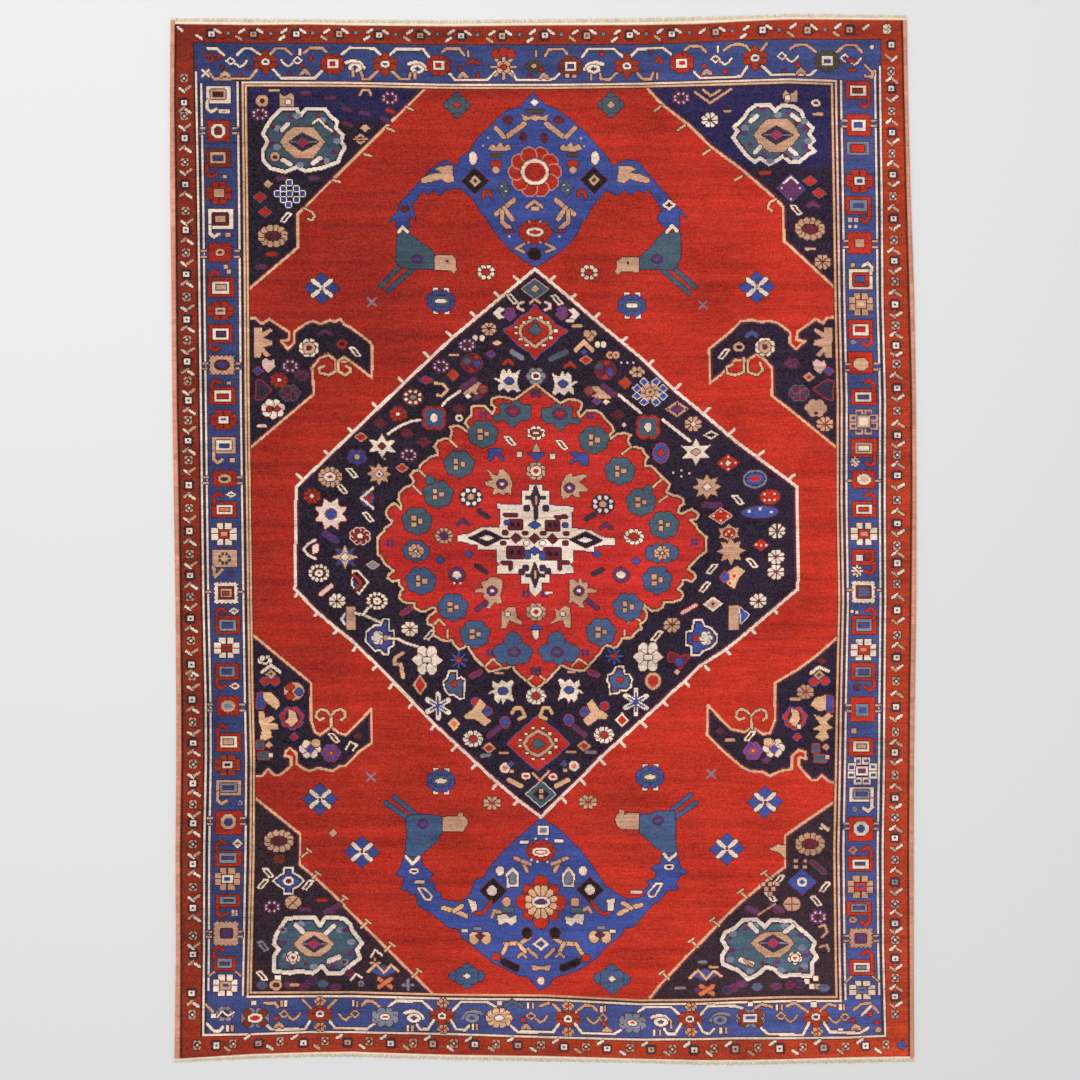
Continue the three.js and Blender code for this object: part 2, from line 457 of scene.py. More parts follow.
# The guard stripes: their flowers and the strokes between them
GUARDS = """
guardflower W 211,34 296,34 379,35 461.4,36 544.5,35 629.5,35 672,34 762.5,30
guardflower Y 253.7,34 339,34 420.6,35.5 502,36 586.5,35.5 715.5,32 807.7,30 850,30
lean W 217.5,31 302.5,31 385.5,32 468,33 551,32 636,32 678.5,31 769,27 814,27 260,31 345,31 427,32
    508.5,33 593,32 722,29
block S/K 3 3 228,33 313,33 396,34 478,35 561.5,34 646,34 689,33 779.5,30 271,33 356,33 437.5,34 519,34
    603.5,34 732.5,31 825,30
lean W flip 241.5,31 284,31 326.5,31 369.5,31 409.5,32 451,32 491.9,33 532.5,32 575,32 617,32 660,31
    702.5,31 746,28 793,26 838,26 866,27
lean Y flip upend 239,38 324,38 407,39 489.4,40 572.5,39 657.5,38 790.5,34 836,34
lean W upend 281.7,38 367,38 448.6,39.5 530,40 614.5,39.5 743.5,36
petals W/K 10 10 4 5 887,29
lean W 180,29 199,37
tulip YT 184,78 184,116 185,162 185.5,211 186,252.5 186.5,297 187,340 187.5,381 188,420 188.5,460
    189,508 189.5,554 190,597 191,641 192,676 192.5,722 193,764 193,804.5 193,844 193,887 193,935.5
    192,1014.5
guardflower W 184,102.5 185,138 185,184.5 186,230 186.5,274 187,319.5 187,361.5 188,400.5 188.5,440.5
    189,485 189,531 190,575.5 190.5,618.5 191,664.5 192,699.5 193,743 193,783.5 193,823 193,864 193,908
    193,954.5 192,993
lean W 182,90 182,128 183,173 184,223 184,264 184,309 185,352 186,393 186,431 187,472 187,520 188,566
    188,608 189,653 190,688 191,734 191,776 191,816 191,856 191,899 191,947
lean Y flip 188,88 188,126 189,171 190,221 190,262 191,307 191,350 192,391 192,429 192,470 193,518
    194,564 194,606 195,651 196,686 197,732 197,774 197,814 197,854 197,897 197,945
lean Y upend 182,109 182,148 183,194 184,240 184,283 184,328 185,371 186,410 186,450 187,495 187,541
    188,585 188,628 189,672 190,709 191,752 191,792 191,832 191,873 191,917 191,963 190,1003
lean W upend flip 188,111 188,150 189,196 190,242 190,285 191,330 191,373 192,412 192,452 192,497
    193,543 194,587 194,630 195,674 196,711 197,754 197,794 197,834 197,875 197,919 197,965 196,1005
tulip YB 891,71 891.5,111 892,153.5 893,196.5 894,240 895,281.5 895.5,325.5 896.5,364 897,411 897,454.5
    897,500 897,545.5 897,584 897,635 896,681 895.5,732 895,775 895,817.5 895,860 895,904 895,940
    895,978 895,1014
guardflower W 891,45 891.5,88.5 892,132.5 893,174.5 893.5,218.5 894.5,261 895,304.5 896,345.5 897,388
    897,435.5 897,475.5 897,523.5 897,563 897,610 896.5,657.5 896,707 895,752.5 895,798 895,838
    895,923.5 895,958.5 895,996.5
guardflower S 895,882
lean Y 888,57 889,100 890,143 891,185 892,229 892,272 893,316 894,355 895,399 895,446 895,488 895,534
    895,574 895,622 894,669 893,719 893,763 893,808 893,849 893,893 893,932 893,969 893,1006
lean W flip 894,59 895,98 896,141 896,184 897,227 898,270 899,314 899,354 901,397 901,444 901,486
    901,532 901,572 901,620 900,667 899,717 899,761 899,806 899,847 899,891 899,930 899,967 899,1004
lean W upend 889,79 889,121 890,163 891,207 891,250 892,292 893,334 893,375 895,423 895,464 895,511
    895,553 895,596 895,645 894,693 893,742 893,786 893,828 893,870 893,912 893,948 893,987
lean Y flip upend 895,81 895,123 896,165 896,209 897,252 898,294 899,336 899,377 901,425 901,466 901,513
    901,555 901,598 901,647 900,695 899,744 899,788 899,830 899,872 899,914 899,950 899,989
tulip YE 197,1045 233,1043.5 280,1041.5 325,1041 369,1041.5 413,1043 454,1043.5 496,1044 541,1045
    586,1047 630,1048 672.5,1049 714,1048.5 758,1047.5 803,1047 845.5,1046.5 886,1044.5
guardflower W 216,1045.5 303.5,1043 391,1043.5 474.5,1044.5 564,1047 607,1048.5 694,1050 780,1048.5
    865.5,1046
guardflower Y 258.5,1043.5 347.5,1042.5 433,1044 517.5,1045.5 651,1049.5 735,1049 824,1048
lean W flip 247.5,1037 294.5,1037 339.5,1036.5 383.5,1037 427.5,1038 468.5,1039 510.5,1039.5 555.5,1041
    600.5,1042.5 644.5,1044 687,1044.5 728.5,1044 772.5,1043 817.5,1042 860,1041
lean Y upend flip 227,1049 317,1047 406,1047.5 491,1049 578,1051 667,1053.5 751,1053 840,1051.5
lean W upend flip 270,1047.5 362,1046.5 450,1048.5 533,1049.5 623,1053 709,1053.5 795,1052 878,1050.5
oval B/K 9 7 902,1045
"""

# The side strips, from the top down: frames, crosses and toothed blocks, with a hook beside most
LEFT_STRIP = """
window WYK 24 17 218,94.5
hook W 218,95
block W/KRW/K 11 4 3.6 224,111.5
toothed R/K 23 22 4.5 218.5,131
eight W/KE 14 14 2.6 218,131
window EYB 24 18 218,158
hook R 218,160
block Y/K 3.6 3.6 225,176.5 226,267 229,272 229,383
cross RYY 24 22 219,193
window WMY 25 20 220.5,219
hook W 220.5,220
block Y/K 5 4 228,235
toothed R/K 24 19 4.5 220,252.5
eight Y/KE 9 7 2 220,252.5
window RWY 26 19 221,287.5
hook R upend 221,288
cross RYB 25 18 220.5,311
window RWP 24 18 221,334
hook R 221,334
toothed Y/K 26 20 4.5 222,365
oval M/KB 15 10 2.6 222,365
window RWR 26 17 222.5,396
hook R upend 222.5,397
cross RWB 26 19 223.5,419.5
window YWB 24 16 224,445.5
hook Y 224,446
block Y/K 5 4 232,460
toothed R/K 25 17 4.5 224.5,478.5
eight Y/KK 13 9 2.6 224.5,479
window RWA 25 15 224.5,509.5
hook R upend 224.5,510
gem W/KK 11 7 2.4 231,494.5
cross WRY 25 22 224,534
block Y/K 25 17 224.5,558.5
petals D 14 13 8 3.4 224.5,558.5
line Y/K 3 213.5,567 215,577 222,569.5
block P/K 4 4 231,574
toothed W/K 25 22 4.5 226,593
block EKYKF 17 14 2 .9 1.6 .9 226,593
window RSB 25 18 227.5,625
hook R upend 227.5,625
gem W/KS 11 7 2 234,611
cross WRD 25 20 226.5,648
window RSB 24 16 227,671.5
hook R 227,671.5
gem W/KR 11 8 2 235,686
toothed R/K 24 20 4.5 228,706
oval Y/KS 15 12 3 228,706
window RWY 25 18 228.5,742
hook R upend 228.5,742
cross FWK 25 20 227.5,765
window YSB 25 15 228.5,787.5
hook Y 228.5,787
oval S/KK 5 5 1.6 240,803
block R/K 26 23 229,822.5
eight Y/KB 15 15 3.2 228.5,822
window RSB 26 15 228,858
hook R upend 228,858
gem W/KYK 10 9 1.6 237.5,843.5
cross YWB 25 22 227.5,879
window RSB 24 12 228,900.5
hook R 228,900
petals L/K 8 7 4 3.4 234.5,913
toothed Y/K 26 25 4.5 226,933.5
block P/KB 12 9 3 226,933.5
window RSB 23 14 224.5,963.5
hook R upend 224.5,964
line Y/K 2 209,976 214,972 ; 236,972 241,976
cross WYB 25 21 225.5,985.5
"""
RIGHT_STRIP = """
window RWE 24 17 858,90.5
hook R flip 858,90
toothed R/K 25 22 4.5 858.5,125
block W/KB 14 11 2.6 858.5,125
block S/KT 22 13 1.8 858,148.5
block R/K 13 7 858,148.5
cross RWB 25 22 859.5,181
window RSB 25 17 858.5,205.5
hook R flip 858.5,205
block L 3.4 3.4 850,220 856,220 850,226.5 856,226.5
toothed R/K 25 22 4.5 859.5,243
block Y/K 9 8 859.5,243
window WRB 24 20 860.5,279.5
hook W upend flip 861,280
block Y/K 4 4 853,265
cross YYO 24 22 861,304
window RWR 24 18 860.5,329.5
hook R flip 860.5,329
gem S/K 8 5 853.5,342
block R/K 24 21 861,363
eight O/K 15 12 861,364
window RWB 25 15 863.5,397
hook R flip upend 863.5,397
block Y/KB 8 7 1.6 859,413 868.5,413 859,431 868.5,431 853.5,418 853.5,426 874,418 874,426
block Y/KW 13 12 2 863.5,422
window RYW 26 18 864,448
hook R flip 864,449
spokes W/K 4 8 1.8 855,462
toothed R/K 24 19 4.5 864,479.5
oval W/KO 14 11 3 864,479.5
window RWR 24 15 864,509.5
hook R flip upend 864,510
cross WRY 26 22 864,534
block R/K 23 15 863.5,557
block W/n 7 6 859.5,557.5
block E/n 6 6 867.5,557
hook R flip 863.5,557
spokes W/K 4 10 2 857,571
toothed W/K 25 23 4.5 863.5,592
block E/Kt 15 12 2.4 864,592
window RSB 25 18 864,625
hook R flip upend 864,625
block W/K 3 3 852,611 857,613
cross WRY 26 21 863.5,650
window RSB 24 17 863.5,672
hook R flip 863.5,673
petals P/K 8 8 4 4 857,687
block R/K 24 24 863,709
block S/KB 13 12 2.8 862.5,710
window RWY 24 17 861.5,746.5
block Y/K 5 5 854,730.5
block W/KB 8 7 1.6 858,761 866.5,761 858,781 866.5,781 851.5,767 851.5,775 873,767 873,775
block W/KP 12 9 2 862,771
window WSB 24 14 861.5,794
hook W flip 861.5,794
oval S/KK 5 5 1.6 854.5,809
block R/K 24 23 861,829
eight W/KB 15 14 3.4 861,828.5
window RWB 24 14 860.5,864
hook R flip upend 860.5,864
gem Y/KR 10 9 2.4 853,850
cross YRB 25 22 860.5,886.5
window RSB 24 13 859,908
hook R flip 859,908
oval Y/KK 8 6 2 853,920
toothed Y/K 24 20 4.5 861,938
block P/KB 11 9 3 861,938
window RWS 24 15 861.5,967.5
hook R flip upend 861.5,968
line Y/K 2 846,982 851,977 ; 873,977 878,981
cross WSB 25 18 862.5,990
"""

# Where a tan line of a side strip breaks off, its ends turn inwards
BREAKS = """
ticks Y/K 2 4 0 200.5,128 200.5,133.5 202,251 202,256.5 203,363.5 203,368.5 204,477.5 204,483 206.5,592
    208,704.5 208,710 208,818 208,824 207,931.5 207,937
ticks Y/K 2 -4 0 237,128 237,133.5 239,251 239,256.5 240,363.5 240,368.5 241.5,477.5 241.5,483 242.5,592
    244,704.5 244,710 244.5,818 244.5,824 242.5,931.5 242.5,937
block B 3 4 200.5,130.7 202,253.7 203.5,366 205,480.2 208,707.2 208,821 207.5,934.2 237.5,130.7
    239.5,253.7 240.5,366 242,480.2 244.5,707.2 245,821 243,934.2
ticks Y/K 2 4 0 842.5,120.5 842.5,126 844,241 844,247 845.5,364 845.5,370 847.5,481 848,590 847,705
    847,711 845,824 844.5,829 844.5,935.5 844.5,941
ticks Y/K 2 -4 0 876,120.5 876,126 877,241 877,247 878,364 878,370 880,481 881,590 880,705 880,711
    878.5,824 878,829 878,935.5 878,941
block B 3 4 841.5,123.2 843.5,244 845,367 846.5,708 844.5,826.5 844,938.2 876.5,123.2 878,244 879,367
    880.5,708 879,826.5 878.5,938.2
"""

# The upper and lower strips: a running vine in short strokes, with flowers, eyes and feet between
TOP_STRIP = """
line W/K 2.5 208,48.5 216.5,48.5 224,55 ; 237,55 244,48.5 251,48.5 261.5,55.5
line Y/K 2.5 269,55 276,48.5 285,48.5 291,54 ; 304,53 310,48 322,48 326,51.5
line W/K 2.5 342,54 350,47.5 374,48.5 382,56 ; 388,56.5 396,49 423,49 429,57
line Y/K 2.5 442,52 447,48.5 459,48.5 464,55 ; 545,56 549,49.5 563,49 567,53.5
line W/K 2.5 582,57 588,49 614,49 623,57 ; 630,57 638,49 663,48 671,54
line Y/K 2.5 685,50 690,46 701,46.5 706,52 ; 724,50 731,45 740,44 746,46 751,52 ; 761,51 767,43 ; 790,49
    796,45 806,44.5 816,52 ; 837,52 845,45 855,45 862,52 ; 209,73 214.5,79 250,78.5 255,72 259,67 ;
    361,72 363,79 369,79 379,70 ; 391,70 400,79 409,79 410.5,73
line W/K 2.5 272,68 281,78 315,78 322,71 ; 450,74 455,80 487,80 498,70 ; 511,71 517,80 549,80 555,78
    559,74
line Y/K 2.5 600,74 601,79 609,80 620,70 ; 634,70 643,79 651,79 653,73 ; 865,65 873,73 872,77 865,76
line W/K 2.5 694,72 700,78 735,77 741,76 747,67 ; 762,66 772,75 810,75 816,70
eye WB 230.5,61 715.5,59 782,56 845,58
eye WB flip 297.5,60.5
fish WB 355,65.5 417.5,67
fish WB flip 593.5,67
redstar WB 265.5,62 385,64 627,66 755,58
rosette RR 332.5,64 438.5,65.5 682,63
rosette EB 570.5,66.5
rosette DB 827.5,61
block Y/K 3.6 3.6 567.5,76 574,76
spokes Y/K 4 24 2.6 503.5,67
petals Y/K 16 14 4 6 503.5,67
oval R/K 6 5 503.5,67
oval R/K 8 9 496,54 503.5,52 511,54
petals D/K 17 12 6 6 534,66
oval Y/K 5 4 534,66
foot Y 225,74 305,72 463,75 544,76 707,72 801,71
block Y/K 2.4 7 353,74 415,76 468,54 536,54 591,77 657,76
block W/K 2.4 7 300,52 718,49.5
block R/K 3.6 3.6 219,57 240,75 311,58 478,76 602,54 725,71
block P/K 3.6 3.6 222,67 249,68 289.5,74 529.5,76 651,52 784,71
line R/K 2.6 205,56 210,55 213,58 211,62 ; 468,64 473,60 479,64 ; 656,62 659,58 662,62 ; 848,60 854,61 ;
    849,70 855,70
spokes W/K 2 9 2.2 45 205.5,73
oval W/K 4 4 872,47
"""
BOTTOM_STRIP = """
line Y/K 2.5 206,1005 213,1012 ; 264,1003 275,1003 278,1007 ; 362,1005 366,1001 372,1001 380,1007 ;
    540,1006 549,1003
line W/K 2.5 207,1024 214,1031 219.5,1031 223,1027 ; 267,1025 271,1029.5 305,1029 312,1018 ; 328,1019
    335,1028 367,1029 375,1023
petals S/K 20 15 6 7 225,1014
oval n 10 8 225,1014
line W/K 1.6 217,1017 222,1011 228,1016 234,1012
block W/K 5 4 213.5,1016 254,1002.5 841,1030
petals S/K 30 20 8 8 255,1018
petals E/K 30 20 4 8 255,1018
oval E 18 12 255,1018
oval W/KR 15 9 2.2 255,1018
block Y/K 2.6 6 232,1028 281.5,1004 357,1004 412.5,1028 477,1027 533,1006 605,1009 660,1033 726,1031
    782,1007 843.5,1007
block W/K 2.6 6 227.5,1028 286,1004 353,1003 408,1028 473,1027 528,1006 601.5,1009 654,1033 720.5,1031
    777,1008 840,1007
eye YB 284,1014 531,1016 781,1016
eye YB flip 355,1014 603,1018 845,1017
foot Y 279,1025 526,1027 607,1030 856,1027
redstar WK 320,1014 442,1016 568,1019 690,1019 816,1017
sixflower Y 320,1001 320,1027 443,1003 443,1029 568,1006 568,1032 691,1007 691,1032 817,1032
block W/K 6 5 814,1005
line Y/K 2.5 303,1000 311,1008 ; 328,1008 336,1000 ; 553,1004 560,1011 ; 576,1012 585,1005 593,1006
    597,1011
line W/K 2.5 388,1007 396,1001 422,1001 432,1010 ; 417,1025 420,1029.5 428,1029 434,1020 ; 453,1010
    461,1002 487,1002 496,1007 ; 451,1020 456,1029 465,1030 469,1026 ; 511,1026 518,1032 553,1032
    559,1024 ; 575,1024 582,1033 614,1034 621,1030 ; 638,1012 645,1007 671,1007 679,1014 ; 664,1029
    668,1034 675,1034 681,1024 ; 701,1014 708,1006 735,1006 744,1009 ; 698,1023 703,1032 709,1034
    714,1029 ; 761,1028 768,1034 803,1035 809,1023 ; 824,1023 830,1032 860,1033 868,1028
teal W 385,1017 632.5,1023
petals O/K 27 20 10 7 499,1018
oval Y 17 12 499,1018
oval W/K 9 5 499,1018
petals S/K 30 20 8 8 750.5,1018
petals E/K 30 20 4 8 750.5,1018
oval E 18 12 750.5,1018
block W/Kb 14 8 2.4 750.5,1018
fish WB 414,1016 661,1020
fish SB flip 472,1016 720,1018
block W/K 5 4 500,1003 750,1004
line T/K 3.2 505,1006 512,1001 522,1006
line Y/K 2.5 755,1008 762,1004 772,1007 ; 787,1006 795,1003 808,1012 ; 820,1011 828,1004 836,1006 ;
    854,1010 861,1004 870,1003 878,1012 ; 671,1021 671,1027
line W/K 2.5 862,1015 871,1006
block R/K 4 4 870,1014 877,1022
oval Y/K 6 5 878.5,1030
"""

# The corners of the field: a stepped navy ground with a cloud flower, rosettes and small motifs
MOTIFS |= {
    "shell": """
        area 1/K -15,-3 -9,-2 -8,-9 -5,-12 -2,-8 0,-13 3,-8 6,-8 11,-11 9,-4 8,2 11,10 8,11
            4,8 -1,11 -5,7 -10,10 -11,5 -8,2 -13,-1""",
    "xflower": """
        gem b/K 16 13 -10,0 10,0
        gem b/K 14 14 0,-9 0,9
        line W/K 4.2 -9,-7.5 -4,-3.4 ; 9,-7.5 4,-3.4 ; -9,7.5 -4,3.4 ; 9,7.5 4,3.4
        line W 2.6 -6,-5 6,5 ; 6,-5 -6,5
        block 1 3 3 0,0""",
    "bluering": """
        block W/K 5 4 -5.5,-11 5.5,-11 -5.5,11 5.5,11
        petals b/K 29 22 8 9 0,0
        oval b 22 15 0,0
        oval T/nW/K 18 11 3.2 0,0""",
    "smallrosette": """
        wheel W 18 15 8 0,0
        oval R/Kb 8 6 2.6 0,0""",
    "bigrosette": """
        petals Y/K 30 23 12 6.4 0,0
        oval K 17 11 0,0
        oval M/K 14 8 0,0
        line 1 1.2 -3,0 3,0""",
    "key": "line 1/K 2 0,0 7,-6.5 ; 4.5,-8.5 9.5,-5",
    "beads": """
        oval K 21 18 0,0
        petals 1/K 21 18 12 3.6 0,0
        oval 1/K2 8 7 2.4 0,0""",
    "sixleaf": """
        eight 1/K 9.5 12 -4.8,-8 4.8,-8 -4.8,8 4.8,8
        gem 1/K 15 13 -8,0 8,0
        block 1/K 8 5 0,0""",
    "maroonflower": """
        petals P/k 19 15 8 6.4 0,0
        oval P 12 9 0,0
        petals L 15 11 8 2 0,0
        oval 1/k 4 3 0,0""",
    "clover": """
        petals R/K 27 27 4 15 0,0
        petals 1 22 22 4 11 0,0
        oval W/K 7 9 0,0""",
    "daisy": """
        wheel 1 17 15 8 0,0
        oval 2 4 3.4 0,0""",
    "snow": """
        spokes W/K 3 24 4.8 0,0
        spokes b 3 18 1.8 0,0""",
    "outlined": "loop 1/K 1.6 -5.5,-4 -1,-4.5 5.5,3.5 1.5,4.5",
}
SPANDRELS = """
patch NMO 2.6 225,65 225,289 249,289 298,247.5 297.5,214 304,208 425,89 425,65 ; 860,65 647,65 647,88
    656,98 664,106 690,126 710,146 740,168 776,199 783,207 784,241 834,287 860,287 ; 225,1010 225,798
    255,798 300,834 300,865 310,873 335,896 350,912 432,993 432,1010 ; 860,1010 650,1010 650,998 660,985
    686,957 700,943 720,922 740,903 752,893 770,878 785,867 785,836 800,825 834,802 860,802
line O/K 2.2 333,180 340,182 ; 364,154 371,156 ; 387,128 394,131 ; 406,107 413,110 ; 304,208 312,212
    315,216 312,220 308,219 ; 655,111 661,106 ; 678,130 685,125 ; 703,154 710,150 ; 735,180 742,176 ;
    776,199 769,203 768,208 772,211
key O 302,857 311,880 338,904 361,928 385,951 412,977
key O flip 719,926 698,947 669,979 747,898 771,879
area O/K 769,849 777,845 786,845 786,859 780,853
patch TnW 3.6 281,109 297,109 300,116 306,109 325,109 331,117 337,121 336,128 343,135 341,142 345,147
    341,154 338,162 330,165 322,168 316,169 305,171 297,167 285,172 270,168 263,160 263,150 268,142
    263,134 268,124 273,117 ; 742,120 749,110 756,105 770,105 775,111 782,105 795,107 802,112 804,120
    813,128 809,134 814,140 809,146 815,151 809,154 799,162 790,162 783,156 776,161 769,164 760,158
    755,162 747,156 740,147 733,137 738,131 734,127
patch TnW 4 286,919 294,918 315,918 320,926 325,918 343,918 350,924 352,930 358,938 362,943 357,950
    360,958 350,966 341,973 328,973 322,966 313,973 298,971 290,973 274,971 274,956 279,949 274,944
    276,935 ; 743,920 757,920 765,927 771,920 791,921 799,928 809,936 815,942 812,950 817,957 812,963
    812,976 794,975 782,976 774,969 766,967 757,975 748,979 739,971 723,964 722,956 727,948 722,940
    725,933 735,928
oval S 8 6 277,128 277,147 300,165 326,161 337,141 322,120 297,116 745,128 754,117 778,115 804,121
    808,141 796,157 770,161 283,930 301,924 316,933 340,930 351,942 345,962 314,967 286,956 733,934
    755,926 785,926 802,948 804,966 781,970 750,971 730,960
oval P 7 5 290,117 318,115 334,134 334,152 272,143 311,164 762,110 789,113 804,128 805,147 744,133
    764,155 284,943 292,966 345,930 350,953 333,967 732,950 746,928 801,935 806,955 777,962
oval M 5 4 327,124 281,158 322,161 273,127 796,124 750,144 786,156 283,930 306,964 344,962 730,938
    762,963 801,969
area Y/K 280,142 286,133 294,127 313,127 325,142 313,158 295,158 286,150
area n/K 289,142 302,133 319,142 302,151
area Y/K 754,135 760,126 768,119 786,118 793,124 800,135 790,148 783,152 770,152 760,146
area n/K 762,135 776,126 793,135 776,144
area Y/K 294,944 300,937 306,932 322,932 328,937 334,944 328,951 321,956 307,956 300,951
area n/K 302,944 314,936 327,944 314,952
area Y/K 751,943 757,937 765,932 782,932 789,937 794,944 788,951 780,957 765,957 757,950
area n/K 759,943 773,935 788,944 773,952
line S 1.2 291,142 317,142 ; 764,135 791,135 ; 303,944 326,944 ; 761,943 786,943
gem R/b 12 9 302.5,142.5 776.5,135 314,944 773,943
dot b 302.5,142.5 776.5,135 314,944 773,943
line W/n 4.4 282,130 288,124 ; 283,160 290,164 ; 313,163 320,158 ; 751,121 757,116 ; 792,115 799,120 ;
    755,152 760,147 ; 790,149 796,154 ; 296,925 303,932 ; 334,926 326,933 ; 750,924 757,931 ; 793,926
    785,932
line W/K 2 313,123 319,119 325,126 332,131
eight Y/KK 9 9 2.4 275,157
petals W/K 15 13 5 6 293,957.5 795,958
oval W/KR 9 8 2.4 293,957.5 795,958
line W/K 5 329,961 339,957 ; 741,960 752,964
eight Y/KYK 12 12 1.8 1.8 262,101
maroonflower K 260,114 390,98 681,98 272,907 818,917
area Y/K 280,106 280,93 284,97 291,93 294,96 294,106 ; 785,90 790,95 797,90 797,102 785,102 783,96
block W/K 5 5 288,102 788,98 807,981 816,978 812,986
block W/K 6 6 278,978
eight Y/KK 12 10 2.4 276,985
block Y/K 5 5 818,986
line Y/K 2.2 360,95 362,90 369,90 371,95 ; 270,90.5 279,90.5 ; 695,92 710,103 731,89 ; 703,90 711,96
    720,90 ; 725,111 730,111 ; 814,114 822,114
gem Y/K 10 8 365,128 268,184
gem Y/KK 15 11 2.4 360.5,139
line Y/K 1.6 354,139 367,139
block b/W 5 5 289,183 283,188.5 296,188.5 277,194 289.5,194 302,194 283,199.5 296,199.5 289,205
patch bnW 1.6 284,868 293,868 293,873 299,876 304,881 299,886 293,889 293,894 284,894 284,889 279,886
    273,881 279,876 284,873
oval W/KM 11 9 2.2 288.5,881
gem R/T 14 10 260,197 265,212 810,181 819,193
outlined W 796,210 268,873 771,897 816,901 262,976
outlined W flip 286,217.5 263,884 825,887 779,880 308,885
oval P/K 11 6 290,985 336,987 742,984 700,990 776,986
oval T/P 10 7 262,985 323,984 757,987 824,988
oval M/P 9 6 303,987 350,973 733,988 790,985
oval n/P 9 7 312,981 728,990 800,984
bigrosette K 273,236 810,229 279,841 810,844
line R/K 3.4 267,254 276,254
line P/K 3.4 257,267 265,267 ; 277,178 285,178 ; 310,178 318,178 ; 302,93 309,93 ; 326,98 334,98 ;
    343,108 350,110 ; 361,112 368,114 ; 344,123 351,125 ; 382,118 389,122 ; 808,206 813,203 818,206 ;
    301,909 309,909 ; 326,912 334,912 ; 748,910 756,910 ; 775,911 783,911
line R/K 3.4 387,110 393,112 ; 761,173 769,173 ; 318,900 326,900
line A/K 4 379,979 391,987 ; 391,979 379,987 ; 701,986 713,994 ; 713,986 701,994
line P/K 5 326,912 339,905 ; 748,908 757,913 ; 772,905 781,910
line Y/K 1.6 758,915 775,904
oval W/KK 9 7 2 816,103
gem P/b 28 27 791,188
dot L 782,188 800,188 791,199
line W 2 784,183 791,177 798,183
gem b/P 29 25 802,882
eight W/Kb 10 9 2.4 802,882
line Y/K 2.4 806,249 815,249
daisy YM 822.5,262
daisy WK 710,120
petals E/K 12 10 4 5 279,859
oval Y/K 16 13 293,902.5
oval Y/K 17 14 792,904
spokes K 2 13 1.2 45 293,902.5
spokes K 2 14 1.2 792,904
block Y/K 4 4 763,884 770,884 777,884 766,889 773,889 770,894
line Y/K 2.4 291,985 298,985 ; 375,959 375,967 ; 371,963 380,963 ; 710,967 717,967
line W/K 2 351,980 356,974 362,978 ; 371,957 375,950 382,955 ; 820,828 829,828
line L/K 3 822,825 828,830
line S/K 2.4 403,985 413,985 ; 408,980 408,990 ; 699,962 706,962 ; 676,988 685,988
outlined S 263,946
line Y/K 2.2 819,927 825,925 827,932 822,937 ; 820,947 827,945 829,951 ; 745,960 752,966
gem b/K 27 12 383,971 705,975
line O/K 2.4 368,972 376,964 384,973 391,965 398,971 ; 690,978 698,970 706,979 714,971 721,976
oval S/KK 6 6 1.8 361,984
line M/T 4 812,862 824,872
block Y/K 3.4 3 796,861 805,861 796,867 805,867
"""

